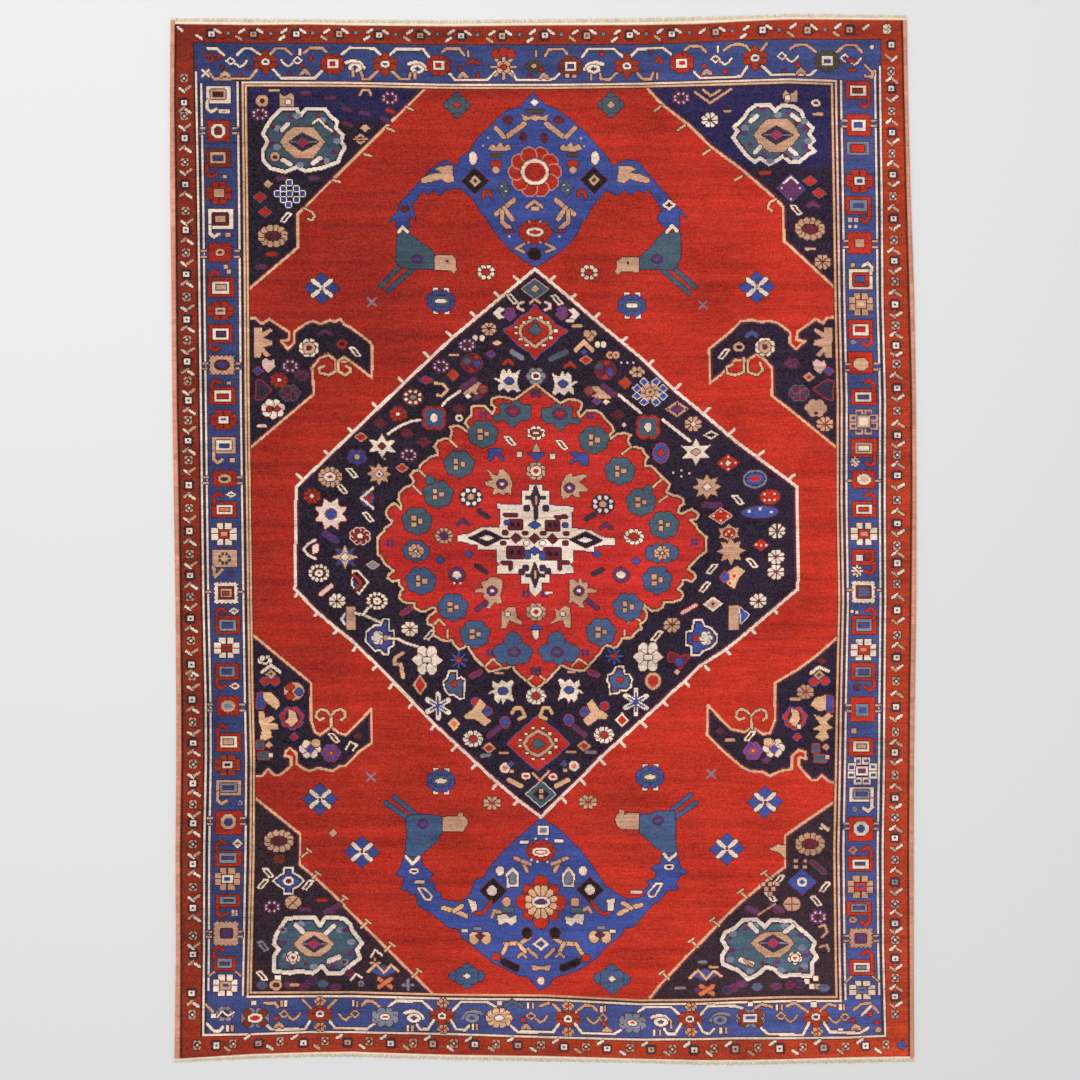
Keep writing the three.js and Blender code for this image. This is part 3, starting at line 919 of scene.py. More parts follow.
# The brackets at the field's sides, and the pendants with their birds above and below the medallion
BRACKETS = """
patch NMO 2.4 225,318 249.5,318 255,318 262,324 269,319 289,332 289,340 281,341 288,349 294,343 294,332
    305,324 313,321 321,324 330,320 335,322 340,319 344,324 350,327 370,342 372,346 372,378 362,370
    350,361 336,362 328,354 321,357 312,368 314,394 250,448 225,448 ; 860,317 834,317 827,318 823,323
    816,319 797,332 797,340 805,341 796,349 790,343 790,332 778,323 770,321 761,322 752,320 741,321
    730,332 709,349 710,383 722,374 735,360 748,360 757,354 765,360 772,368 772,396 837,448 860,448 ;
    225,635 253,635 311,683 311,720 315,732 320,735 331,727 339,733 346,735 360,721 371,709 372,743
    360,751 345,766 340,766 333,771 318,768 310,771 304,769 297,764 296,753 290,748 286,751 285,756
    291,757 291,766 280,775 274,775 268,769 262,776 256,776 225,776 ; 860,637 838,637 816,656 797,670
    775,683 775,720 770,733 763,734 752,727 745,732 731,729 720,718 708,705 707,735 720,748 730,757
    742,767 750,771 763,772 770,776 780,771 792,769 792,756 799,750 805,752 806,759 799,757 799,766
    811,780 817,780 822,775 828,781 834,783 860,783
line O/K 2.4 312,368 320,358 329,355 336,361 336,371 329,375 320,373 319,368 324,366 ; 350,361 344,357
    338,361 338,371 345,375 350,372 350,368 346,366 ; 744,358 744,372 735,375 727,373 727,367 733,364 ;
    748,360 748,372 757,375 763,370 760,363 ; 331,727 331,716 327,711 321,709 317,712 316,717 320,720
    324,718 ; 331,716 335,711 341,709 345,712 345,717 341,720 ; 752,730 751,716 747,711 741,709 737,712
    736,717 740,720 744,718 ; 751,716 756,711 762,709 766,712 767,717 763,720
area Y/K 254,328 262,328 262,333 271,328 272,331 263,338 272,341 272,345 263,347 270,355 266,357 262,352
    260,358 254,358 ; 832,328 824,328 824,333 815,328 814,331 823,338 814,341 814,345 823,347 816,355
    820,357 824,352 826,358 832,358
area O/K 259,711 264,712 265,718 272,716 275,719 269,723 278,724 278,729 270,729 272,737 266,740 260,739
    262,730 259,722 ; 814,715 823,717 828,712 833,716 826,722 833,728 826,730 829,738 822,741 815,737
    821,731 812,729 821,725
area L/n 262,361 266,358 270,361 274,359 275,366 269,373 263,368 ; 813,362 817,359 821,362 825,360
    826,367 820,374 814,369
gem b/R 10 8 258,371 829,371
area n/R 256,381 262,380 271,390 262,399 256,399 ; 833,381 827,380 813,389 827,399 833,400
maroonflower K 290,366
daisy RW 279,380
gem R/b 9 8 294,737 797,737
petals P/K 14 11 6 5.4 302,375 792,363
petals M/T 20 16 6 8 290,393 799,393
petals W/K 20 19 8 7 309,348 765,347
petals W/K 22 19 6 8 310,749 774,748
oval O/K 9 8 316,743 768,742
oval Y/KM 12 12 3 309,348 765,347
gem b/R 9 9 310,749 774,749
oval R/KN 10 9 2.4 342,344
oval Y/KN 11 9 2.4 739,347
line P/K 3 319,334 325,331 331,334
outlined W 355,352 334,738
outlined W flip 750,736 724,354
petals W/K 24 20 7 8 273,409
oval R/K 5 6 269,409 277,409
bloom Y/K 22 18 6 9 816,408
petals W/K 15 10 5 5.4 265,660
oval k 4 3 816,413 265,661
line L/K 2.4 258,426 266,426
line b/K 3.4 747,336 752,332 757,336
gem Y/KR 12 10 3 809,377
oval R/b 9 8 265,681 275,681 814,682 825,681
line W/K 3 262,672 271,665 280,672 ; 811,673 819,667 828,671
gem Y/KD 11 10 3 271,674 819,675
daisy YR 825,424 805.5,692
oval Y/K 20 18 294,691
oval R/K 8 7 290,687 290,696
oval b/K 7 7 299,692
area b/R 257,694 264,692 266,703 264,708 257,708 ; 827,695 833,697 833,712 827,712
area O/K 263,693 270,692 278,699 280,705 276,709 269,704 264,699 ; 826,695 826,710 819,711 811,705
    815,698
petals R/b 24 23 7 9 292,718 795,718
oval n 15 15 292,718 795,718
area O/K 288,709 295,712 298,720 292,727 285,722 289,717 ; 791,708 798,711 800,718 796,727 789,722
    792,716
block T/R 7 9 260,745 816,748
gem Y/K 8 7 269,745 826,747
block T/R 12 7 264,756 820,759
block L/K 4 4 271,755 827,757
petals b/R 18 17 6 8 331,753 753,751
oval F/b 9 8 331,753 753,751
dot Y 331,753 753,751
line W/K 1.8 346,749 350,742 357,745 353,750
gem M/K 8 6 358,736 720,731 822,661
line Y/K 2.4 791,699 800,699 ; 726,740 734,740
gem P/K 9 7 766,760
block W/K 4 4 799,727
"""
PENDANTS = """
area b/n 533,93 524,102 520,108 508,110 498,118 487,129 475,142 470,151 460,158 458,167 445,160 430,170
    420,182 400,203 398,211 388,222 396,219 397,228 409,228 409,213 416,221 412,205 421,193 425,190
    428,195 434,190 440,196 446,190 455,188 462,189 466,193 474,200 482,214 486,217 492,228 500,238
    507,246 512,251 520,257 530,264 535,267 541,264 552,257 564,248 572,240 578,231 582,222 588,216
    590,209 598,200 606,190 617,195 625,190 630,195 637,190 645,193 648,188 655,198 662,210 657,219
    665,228 679,228 679,212 688,219 680,209 675,205 665,193 654,181 645,170 638,162 627,160 617,164
    611,166 608,158 597,146 588,135 575,123 556,109 545,105 ; 404,857 400,870 396,874 403,877 404,884
    400,889 408,890 411,895 416,893 418,905 430,912 448,927 458,929 462,937 475,947 492,962 505,968
    518,975 528,977 540,990 549,985 553,978 578,970 598,957 602,950 612,942 620,936 625,928 634,926
    641,918 652,905 660,900 668,890 678,889 676,884 680,875 688,872 680,868 677,852 663,853 660,864
    650,868 657,872 655,879 647,881 650,886 643,890 645,896 636,899 627,899 620,896 612,890 606,887
    600,878 596,872 590,863 580,850 570,840 560,830 545,820 541,818 525,832 515,840 500,855 489,868
    484,878 475,880 471,893 468,897 459,903 452,901 441,900 441,894 434,890 435,884 428,881 433,874
    422,865 421,857
gem W/K 9 7 534.5,102.5
line D/K 3 527,111 542,111
area Y/K 521,114 528,117 535,115 542,117 549,114 546,121 539,119 535,121 531,119 524,121
line Y/K 5 524,124 508,136 ; 546.5,124 562.5,136
line Y/K 4.4 496,128 504,137 ; 574.5,128 566.5,137
oval M/K 10 7 508,120 559,120
oval M/K 6 9 523,137 544,138
dot Y 488,138 581,138 483,146 584,146
area Y/K 488,149 492,144 497,147 500,142 504,147 508,144 511,149 505,151 494,151 ; 582.5,149 578.5,144
    573.5,147 570.5,142 566.5,147 562.5,144 559.5,149 565.5,151 576.5,151
line D/K 3 492,155 500,155 ; 568,155 576,155
oval W/K 8 13 473,158 595,158
oval R/K 11 7 496,164 573,164
oval Y/K 7 7 496,170 573,170
gem k/M 27 26 475,181 594,180
gem Y/KD 11 12 3 475,181 594,180
petals R/Y 52 50 10 15 535,172
oval W/KR 28 26 3.4 535,172
oval R/K 12 11 535,172
gem T/K 12 19 504,189 566,188
block W 1.6 1.6 502,186 506,191 564,185 568,190
line R/K 2.8 483,198 484,192 489,191 491,196 ; 578,196 579,191 584,192 586,198
area Y/K 617,181 619,170 618,166 630,166 636,169 629,173 640,174 650,179 649,183 640,182 630,179 624,183
    ; 454,181 452,170 453,166 441,166 435,169 442,173 431,174 421,179 422,183 431,182 441,179 447,183
line Y/K 3 527,207 534,201 542,207
block Y/K 8 4 535,209
line Y/K 4.4 514,200 504,208 496,214 ; 504,208 512,219 ; 502,212 502,222 509,228 ; 556,200 566,208
    574,214 ; 566,208 558,219 ; 568,212 568,222 561,228
petals R/K 33 24 12 8 535,232
oval R 22 14 535,232
oval W/KR 17 9 2.4 535,232
dot Y 529,222 540,222 529,242.5 541,242.5
dot L 509,236 559,236
line P/K 3 504,231 513,231 ; 555,231 564,231
line Y/K 2.4 524,244 516,248.5 524,252 ; 546,244 555,248.5 546,252
oval k/M 13 12 534.5,254
line T/n 4 399,267 381,286 ; 413,269 388,290.5 ; 661,269 689,293 ; 676,270 695,287
line t/n 4 406,817 386,803 ; 415,814 394,797 ; 671,811 691,794.5 ; 676,817 696,803
area T/n 398,232 408,232 420,242 432,250 434,254 434,269 415,269 400,267 396,262 397,240 ; 663,233
    680,232 681,256 677,266 673,270 660,269 640,269.5 640,257 650,248 657,239
area t/n 405,856 407,835 406,818 414,814 440,816 441.5,818 442,832 437,841 428,849 418,857 ; 639,814
    650,814.5 655,811.5 675,811 675,820 675.5,840 677,852 664,853 657,848 640,833
area Y/K 435,255.5 452,255.5 456,259 456,268 457,269 454,273.5 450,270 435,270 ; 638.5,257.5 622,257.5
    617,262 616.5,268 615,272 618,275 621,271.5 638.5,272 ; 442.5,817 455,816 458,817 458.5,812.5
    463,812.5 463,816 468,820 467,825 463,831 443,831.5 ; 639,813.5 628,813 624,815 623.5,809.5
    619,809.5 619,813 615,818 617,826 621,829 639,829
block k 2.4 2.4 447,261 628,263
oval P/nb 10 8 2.4 417,259 657,259 423,824 658,820.5
line W/K 3 399,232 402.5,227 407.5,232 ; 667,232 672,225.5 677,231 ; 406,857 412.5,864 419,857 ; 664,854
    669,860 676,854
oval M/K 9 6 405,209
gem W/KK 14 11 3 669,205
oval W/KK 10 6 1.8 414,871 669,867
block W/KS 11 9 2 543,830
line W/K 3.4 521,842 527,842 ; 556,841 562,841
petals R/K 29 21 10 8 541,851
oval R 20 12 541,851
oval W/KRW 18 9 2 1.2 541,852
dot W 536,839 547,839 532,860 537,861.5 547,861.5
line Y/K 3.4 515,858 522,861 527,871 ; 522,861 530,864 ; 567,858 560,861 555,871 ; 560,861 552,864
eight W/K 8 9 500,870.5 583,871
area W/K 506,874 512.5,867 519,874 518,887 507,887 ; 562,874 568.5,867 575,874 574,887 563,887
area S/K 509,876 512.5,872 516,876 515.5,884 509.5,884 ; 565,876 568.5,872 572,876 571.5,884 565.5,884
gem k/M 27 26 493,891 590,890
oval L 10 9 492,891 590,890
oval W 7 7 492,889 590,888
line R/K 2.8 491,902 487,908 481,914 475,913 ; 592,902 596,908 602,914 608,913
area W/K 468,899 476,902 477,910 472,912 ; 615,898 607,900 608,910 613,911
line L/K 3 416,882 423,882 ; 632,892 641,892
loop W/K 1.8 418,888 424,888 432,896 430,900 425,899 ; 662,884 656,884 648,893 650,897 655,896
line O/K 4.2 443,908 455,911 466,916 ; 454,911 462,906 ; 641,905 630,908 619,914 ; 631,908 623,903
oval Y/K 9 9 506.5,902 575,902
block T/K 11 5 508,910 576,911
area W/K 497,916 505,914 510,918 517,915 516,922 511,926 507,922 499,925 ; 584,914 577,914 572,918
    565,916 566,923 571,926 575,922 583,925
line Y/K 3 492,917 494,911 500,912 ; 591,912 588,907 584,910
petals R/K 46 46 4 10 541,902
rays R/K 50 53 4 15 541,902
wheel O 33 34 12 541,902
eight W/KP 18 11 2.6 541,902
oval O/K 10 12 474,938 486,938 594,937 606,937
gem M/K 10 6 480,936 600,935
block S/K 8 3 478,929 601,928
block W/K 6 3 465,931 613,931
line O/K 3.6 505,944 521,943 529,938 ; 507,944 503,953 ; 519,944 525,952 ; 577,944 562,943 554,938 ;
    576,944 582,954 ; 564,943 560,951
line Y/K 3 528,949 537,957 ; 554,949 546,957
oval k/M 10 11 527,933 555,933
gem W/K 17 13 541,944
gem b/K 7 5 541,944
oval R/K 9 7 496,957 586,958
line k/M 7 504,962 516,968 ; 577,962 563,968
line Y/K 2.2 518,957 522,953 526,957 ; 556,957 560,953 564,957
area Y/K 531,965 541,967 551,965 549,971 541,969 533,971
oval W/R 7 7 541,981
rays T/K 26 25 4 9 457,105 611,105
petals T/K 20 19 4 8.6 457,105 611,105
oval T 15 14 457,105 611,105
gem R/K 8 7 457,105
gem Y/K 8 7 611,105
rays t/K 35 25 4 10.6 467,976
petals t/K 27 19 4 10 467,976
rays t/K 36 29 4 11.6 612,979
petals t/K 28 22 4 10.6 612,979
oval t 20 14 467,976 612,979
gem W/K 8 6 467,976 612,979
xflower Y 322,288 757,287
xflower E 320,799 765,802 362,852 727,849
line S 1.8 368,298 376,306 ; 376,298 368,306 ; 699,301 707,309 ; 707,301 699,309 ; 367,773 375,781 ;
    375,773 367,781 ; 707,770 715,778 ; 715,770 707,778
bluering W 441,301 632,305.5 441,781 650,777
smallrosette W 486,272 589,272.5
wheel Y 19 14 8 492,803 588,802
oval R 4 3 492,803 588,802
gem Y/K 9 8 333,833
"""

# The medallion: a navy ground in a stepped ivory line, and a crimson one with a scalloped edge inside
MEDALLION = """
ticks W 2.8 -5 -4.5 519,281 500,297 476,317 452,337 429,357 404,383 378,408 354,433 330,456 302,479
ticks W 2.8 5.5 -4.5 549,281 570,299 594,318 621,342 648,365 675,389 704,413 729,434 758,456 789,479
ticks W 2.8 -4 4.5 299,592 319,611 338,629 357,646 377,665 393,684 413,703 435,725 456,746 476,764
    497,784 518,800
ticks W 2.8 4 4 773,609 751,629 726,650 705,666 685,682 663,701 642,723 621,742 601,760 581,780 562,798
patch NMW 3 535,269 500,298 452,338 403,384 350,435 296,487 295,589 316,611 337,629 350,639 375,663
    410,699 432,722 457,745 490,776 518,800 541,817 552,806 580,779 600,758 620,740 640,722 660,704
    670,694 686,680 700,666 725,650 738,640 798,589 797,487 738,443 700,411 673,389 640,357 600,324
    570,298
gem T/Y 27 20 535,289
gem Y/K 9 8 535,289
line Y/K 2.2 530,303 535,299 540,303
outlined W 512,299 557,300
line L/K 2.4 523,302 518,304 518,308 523,310 ; 545,302 550,304 550,308 545,310
area W/K 493,313 499,307 505,309 500,313 505,318 499,319 ; 580,314 574,308 568,310 573,314 568,319
    574,320
petals b/R 11 13 5 5 510,314 562,313
line W/K 2.4 567,321 573,321
line Y/K 2.4 573,326 581,326 ; 450,355 458,355 ; 500,753 508,753 ; 567,752 575,752
wheel Y 15 13 8 489,329
petals Y/K 14 12 3 7 590,335
oval W/K 5 6 475,338 482,338 597.5,344.5 603.5,344.5
gem O/K 11 5 497,343
maroonflower E 467,345
line O/K 4.4 576,350 584,342 592,350
gem b/K 7 5 584,352
gem b/R 9 7 491,354
line S/K 5 512,352 522,358
line T/K 5 551,359 566,352
oval Y/KR 7 7 2 610,355 616,355
gem R/Y 11 8 586,360 361,437 402,468
oval M/E 20 18 472,363 605,370
oval T 8 6 467,361 599,367
oval b 7 7 477,364 610,372
oval R 5 4 471,370 605,377 476,357 607,363
line R/K 2.8 503,364 508,360 513,364 ; 565,367 570,363 575,367
maroonflower K 441,366 409,455
dot L 621,363 627,363 633,363
petals Y/K 15 11 6 4.6 637,372
gem F/K 13 13 453,375
gem F/K 14 12 625,383
gem R/b 14 8 426,380
petals S/K 19 17 6 7 536,376
oval W/KM 10 9 2 536,376
shell W 509,381
shell W flip 563,384
shell W upend 503,691
shell W flip upend 569,690
oval b/K 9 7 509,381 563,384 503,691 569,690
line O/K 2.6 435,383 443,384 447.5,389.5 442,396 437,395
line P/K 5 462,388 474,380
area Y/K 463,393 478,382 482,384 476,391 482,396 478,396 472,392 466,397
oval R/KT 9 9 2 483,389 589,390.5
gem W/K 7 6 468,396 606,402
line P/K 4 474,399 480,396
line P/K 5 603,386 614,394
area Y/K 591,387 597,386 606,393 612,398 603,399 597,398 592,396 597,393
gem b/R 8 7 597,401
area R/b 535,304 541,312 548,316 556,325 568,331 558,338 552,345 541,352 535,360 529,352 518,345 511,338
    503,330 513,325 520,317 529,312
loop Y/K 3 520,330 521,326 528,322 532,319 539,319 543,322 550,326 551,332 549,337 543,341 535,347
    527,341 521,336
block W/K 3.6 2.6 524,323 530,317.5 541,317.5 548,323 516,327 516,333 521,339 527,345 544,345 551,338
    556,331
area T/K 535,319 538,327 543,330 538,333 535,337 532,333 527,330 532,327
area R/b 538,715 545,722 556,730 563,737 570,744 563,750 556,757 545,765 538,771 530,765 521,757 513,750
    507,744 513,737 521,730 530,722
loop Y/K 3 538,731 548,736 553,744 546,751 538,756 529,752 524,744 528,737
block W/K 3.6 2.6 533,728 543,728 526,734 550,734 520,740 520,746 556,740 556,747 527,753 550,753
    533,759 543,759
gem T/K 14 12 538,744
oval E/K 20 17 413,397
petals W 18 15 8 3.2 413,397
oval S/K 6 5 413,397
line W/K 2.5 460,391 447,400 442,406 ; 421,420 412,421 402,425 395,429 388,434
daisy RW 398,414
clover t 434,418
clover T 648,427
gem M/K 14 10 459,409 380,423 424,442 618,415
oval W/KN 8 7 2 459,418
oval M/K 11 8 407,433
burst W/K 31 24 6 .5 382,446
gem E/K 9 7 382,446
petals b/M 20 16 5 8 357,457
oval Y/K 5 5 357,457
dot Y 385,459
burst Y/K 25 22 8 .6 379,474
gem W/KE 9 8 2.4 379,474
outlined W 352,473 368,517 342,489
oval b/K 13 17 367,498
oval R 6 9 369,498
line W/K 2.6 373,488 361,498 373,508
petals E/L 20 17 8 6 360,536
oval E 13 10 360,536
oval L/K 6 5 360,536
burst b/K 27 25 8 .55 345,557
burst O 27 24 4 .35 345,557
gem W/K 9 8 345,557
gem S/Y 12 8 373,565
petals Y/K 24 20 12 5 330,477
oval W/KR 12 9 3 330,477
beads WK 319,573
daisy RW 312,496
burst W/R 34 33 8 .66 331,514 22.5
oval b/R 11 10 331,514
line P/b 5 325,534 336,540
line W/K 2.4 315,540 308,544 303.5,549 308,555 316,559
area W/R 312,546 319,543 318,552 313,554
line L/R 4 321,594 331,586
daisy WK 337,601
loop W/K 1.8 353,571 358,571 368,582 359,594 352,585
line R/K 3 354,575 361,583 357,589
line b 2 353,580 357,586
area W/K 348,608 340,619 348,630
area b 347,612 343,619 347,626
block Y/K 9 23 351,618
line W/K 2.6 355,613 366,616 384,624 ; 363,615 368,608
beads WR 377,601
line W/K 2.8 619,395 641,413 ; 663,420 690,441
petals Y/K 20 18 8 6.6 650,392
oval Y/KE 9 8 2.6 650,392
gem b/W 8 7 644,382 656,382 637,388.5 663,388.5 637,396 663,396 644,402 656,402
gem Y/K 24 16 677,409
gem P/K 13 8 677,409
dot K 668,409 686,409 677,403.5 677,414.5
daisy YW 693,424
gem W/K 5 5 624,425
gem W/KN 15 9 2 711,435
oval b/R 15 19 661,453
oval R/K 6 8 661,453
burst W/K 33 26 6 .5 696,452
gem Y/K 10 7 696,452
gem R/K 23 17 728,463
gem W/K 7 6 728,463
dot L 721,463 735,463 728,457 728,469 673,473 681,470 689,473 681,476
burst Y/K 29 25 8 .6 707,487
gem W/K 9 8 707,487
line P/K 5 704,505 720,505
gem R/L 22 15 721,516
dot W 714,516 728,516 721,511.5 721,520.5
burst Y/K 23 17 6 .7 729,533
oval R/K 11 8 729,533
dot W 729,531 726,535 732,535
burst Y/K 28 27 8 .6 731,551
outlined W 752,563 738,500
outlined W flip 712,569 705,587
oval S/KnbR 24 18 1.8 1.4 3 755,479
oval R/K 20 14 770,497
dot W 765,494 775,494 770,500 765,500 775,500
oval b/P 36 11 760,512
block W 3.4 2.4 749,511 760,509 771,512
daisy WP 777,531 776,557 776,572
daisy WK 758.5,601
gem R/K 16 12 761,545
dot W 761,545 756,545 766,545
area O/K 726,573 737,566 745,571 739,578 734,589 727,584
oval b/R 8 10 725,577
block R 2.4 2.4 734,576 730,583
line L/R 3 682,613 696,605
gem W/KY 20 15 2.4 713,604
gem K 5 4 713,604
block Y/K 10 24 734,618
area b/W 740,607 749,615 741,624
line P/R 4 402,613.5 411,608 ; 472,676 480,672 ; 590,672 597,675
patch bnW 1.8 375,625 366,632 366,642 375,651 380,650 383,654 388,655 389,648 394,645 394,631 389,631
    389,619 383,619 381,625 ; 694,620 702,620 705,626 711,628 717,635 717,642 711,648 703,651 700,655
    691,655 691,646 686,645 686,632 692,631
petals W/K 13 14 6 6 378,638 706,638
oval W 6 6 378,638 706,638
block Y/K 4.6 5 386,638 
block R/K 5 5 696,639
line W/K 2.4 388,638 398,639 406,643 419,647
daisy WR 410,629
daisy YK 672,625
outlined W flip 430,635 657,636
spokes b/k 4 16 2 459,660 614,656
oval R/K 5 5 459,660 614,656
line Y/K 3.4 403,653 395,658 394,664 401,664
line O/K 4 401,665 403,677
area M/R 669,652 680,656 691,655 684,664 680,669 676,662 668,661
oval b/M 8 8 679,662
gem O/K 6 6 677,672
sixleaf W 427,660 648,657
gem Y/KR 15 21 2.6 420,685
oval Y/KR 16 17 2.8 653,681
patch tKW 1.6 449,671 457,671 457,679 461,677 465,680 464,698 460,699 454,695 449,695 445,690 443,682
    447,678 ; 616,667 623,666 625,674 629,674 632,679 631,687 626,691 620,690 619,693 610,694 609,684
    607,681 608,675 613,673
oval R/K 6 6 454,684 620,680
snow K 438,706 636,702
gem O/KA 13 14 3 454,724
gem W/KR 14 15 2.4 622,720
oval R/b 9 8 476,702 605,706
oval b/R 9 9 487,711 585,712
area O/K 464,716 473,709 480,699 486,705 481,712 491,721 485,726 475,719 466,719 ; 608,715 599,709
    592,699 587,704 591,712 583,720 588,726 598,719 606,719
line Y/K 2.4 496,673 502,673 ; 568,672 574,672
oval b/R 9 11 505,722 569,720
line O/K 3.2 512,713 515,708 521,708 525,716 519,719 ; 552,713 549,708 543,708 540,716 546,719
line P/K 5 489,736 499,728 ; 574,727 585,735
petals W/K 20 17 10 5.4 473,739 604,735 536,696
oval S 11 9 473,739 604,735 536,696
oval R/K 7 6 473,739 604,735 536,696
gem Y/KR 14 12 2.4 489,748 584,746
line S/K 3.4 482,756 489,755 ; 587,752 595,752
oval W/KA 10 10 2.4 505,768 574,766
gem b/K 7 6 511,764 564,764
block Y/K 4 3 512,771 565,770
line O/K 4.4 509,780 521,786 ; 556,786 568,780
oval L/KR 9 7 2 526,776 553,777
gem T/W 30 26 541,794
gem N/K 16 13 541,794
block Y/K 3.6 3.6 541,791 541,797
line Y/K 2.2 533,773 540,781 549,771
patch CEO 2.2 536,384 525,392 514,400 509,398 500,396.5 493,398 491,401 492,405 495,407 494,411 492,414
    488,409 484,405.5 472,406.5 471,416 467,419 465,423 468,427 469,433 462,427.5 457,425.5 450,427
    452,431 450,439 445,438.5 438,441 434,447 437,449 437.5,455 430,457 424,462 420,466 419,470 414,471
    410,475 414,481 412,485 405,487.5 399,493 398.5,500 401,504 401,509 397,505 394,503 389,507 386,511
    387,517 392,521 391,524 385,528 384,531 378,537 377.5,554 382,558 384,563 394,571 389,574 387.5,578
    393,581.5 399,580 399,585 403,589 400,593 399.5,598 403,602 411,603.5 414,603 415,608 420,611
    425,611.5 431,608 435,608 436,611 429,616 427,620 428,624 433,626 434,631 433,635 437,637 441,640
    448,641 452,640 454,644 459,649.5 463,648 467,645 470,650 475,658 481,664 489,671.5 497,670 501,668
    508,668 513,664 514,669 518,674 527,681 536,689 543,684 550,677.5 559,668 559.5,664 565,667 570,669
    575,670 580,671 585,670 592,662 600,653 605,645 610,646 613,648 617,647 621,641 622,638 631,638
    638,630 642,629 640,624 645,621 647,616 646,611 643,608 644,605 648,608 652,611 658,610 663,607
    664,602 673,602 680,600 683,596 682,592 678,589 682,585 683,580 687,580 692,582 696,577 694,573
    688,569 694,562 700,556 706,552 706.5,537 700,532 697,528 696,525 690,520 696,519 699,515 696,512
    692,509 687,511 682,514 678,512 680,506 684,504 683,499 678,496 672,495 666,492 668,489 670,484
    664,479 660,475 655,469 651,466 645,466 645,461 648,457 644,453 643,449 636,447 631,447 628,441
    629,437 631,435 624,433 617,434 610,439 610,435 614,431 612,426 606,420 602,414 597,411 588,410
    583,414 580,417 578,412 581,409 582,403 577,400 568,399.5 560,403 551,396 543,390
line O/K 2 450,440 457,447 ; 420,471 427,478 ; 413,486 421,494 ; 631,447 622,454 ; 661,480 653,487 ;
    667,496 659,502 ; 434,624 439,619 445,625 ; 448,630 448,638 ; 485,667 493,659 501,666 ; 628,622
    635,617 640,621 ; 625,630 625,635 ; 572,666 579,659 588,665 ; 528,680 534,675 ; 539,675 545,680
area T/K 501,404 505,402 509,405 514,401 519,401 522,405 531,405 531,416 527,420 520,420 517,424 512,428
    508,424 504,420 495,421 492,418 494,415 501,415 ; 572,407 568,405 564,408 559,404 554,404 551,408
    542,408 542,419 546,423 553,423 556,427 561,431 565,427 569,423 578,424 581,421 579,418 572,418
oval P/KR 14 10 3 513,411 560,414
bud T 483,434 459,464 594,440 417,521 438,494 620,471 641,502 664,525
oval T/K 9 9 430,480 648,490
bud t 421,581 453,607 475,634 657,580 628,607 601,632
bloom t/K 27 22 7 9 416,551
bloom t/K 34 21 8 9 662,553
petals Y/K 16 14 8 5 416,551 662,553
dot W 416,551 662,553
bloom t/K 40 25 7 13 512.5,653
bloom t/K 41 24 7 12 559,652.5
oval t/K 17 17 513,641 556.5,640.5
oval t 28 14 513,650 558,649.5
oval P/Kt 12 9 2.6 514,652 557,652
petals P/K 12 10 4 4.4 536,393
petals P/K 12 9 4 4.4 536,671
petals P 10 9 4 4 483,414 590,415 390,543 694,542 490,653 585,653 526,594 544.5,594
petals W/K 18 14 8 5.4 536,433
oval E/KW 11 7 2.4 536,433
outlined W 510,441 562,445
area Y/K 536.5,443 540,450 539,454 534,454 533,450
area b/K 528,453 545,453 537,461
block W/K 5.5 5 519.5,454 552.5,456.5
area b/K 489,449 503,449 500,452 505,460 502,461 497,454 493,456 492,461 488,460 ; 570,452 580,453
    588,454 588,465 582,465 578,460 574,462 569,465 572,460 577,457 571,455
petals Y/K 20 18 8 6.4 536,471 536,612
oval W/KR 11 10 2.6 536,471 536,612
area Y/K 486,468 494,475 498,476 499,470 503,469 509,475 512,482 511,495 507,492 503,495 499,492 493,495
    494,488 486,485 485,482 493,480 ; 562,482 567,475 571,473 573,477 584,474 587,476 579,482 588,489
    587,491 579,491 580,497 576,497 572,494 568,498 562,499 561,490 ; 481,583 488,580 490,577 495,577
    502,580 502,588 500,596 502,603 498,604 495,602 490,608 486,608 489,602 484,597 484,593 475,592
    476,589 484,588 ; 569,580 573,579 578,583 580,578 583,583 588,582 587,588 597,590 597,592 587,593
    588,599 582,602 585,608 580,607 574,602 569,603 570,596
oval P/KW 10 9 3 502,484 569.5,488 492,591 579,591
oval n/K 22 19 471,497 603,504
petals W/n 21 18 8 4 471,497 603,504
oval Y/K 7 6 471,497 603,504
line n/K 4 479,511 488,517 ; 586,519 595,514 ; 477,566 486,572 ; 593,574 602,570
line P/K 3 458,524 463,520 468,524 ; 601,528 606,524 611,528
wheel Y 18 16 10 444,536
oval P/K 8 7 444,536
petals W/K 20 16 10 5.4 634,537
oval R/K 10 7 634,537
gem b/K 9 8 469,554 440,560 597,554 636,561
oval P/K 16 15 457,575 621,575
petals W 9 8 5 4 457,575
oval W/P 9 7 621,575
dot W 454,583.5 460,583.5
line P/K 4.4 477,609 486,603 ; 588,601 597,608
area Y/K 501,609 504,612 508,607 515,607 517,618 522,622 521,625 514,622 509,620 506,628 501,628 502,616
    ; 555,609 559,611 564,606 569,607 571,618 570,628 565,627 563,620 555,622 550,624 556,618
block W/K 4 4 508,614 563,614
eight W/K 6 12 536,633
area b/K 529,629 536,624 543,629
line W/K 2.2 546,593 552,593
area W/n 529,484.5 542,484.5 542,491 549,491 549,505 573.5,507 573.5,511 571.5,512 571.5,528 580,529
    592,531 598,535 606,538 614.5,538.5 614.5,545 603,545 594,547 594,551.5 573,550 573,562 570,564
    573,567 573,573.5 549,573.5 549,583 541.5,583 541.5,590.5 535,597 529.5,590.5 529.5,583 521,583
    521,573.5 497,573.5 497,567 500,564 497,562 497,549.5 478,549 478,545 470,544 465,542 458,541.5
    458,535.5 468,534 474,531 480,528 490,527 497,528 500,527 500,509 497.5,508 497.5,504 522.5,505
    522.5,491 529,491
gem n/K 10 26 535.5,498
block n 21 4 536,498
block Y/K 2 9 536,500
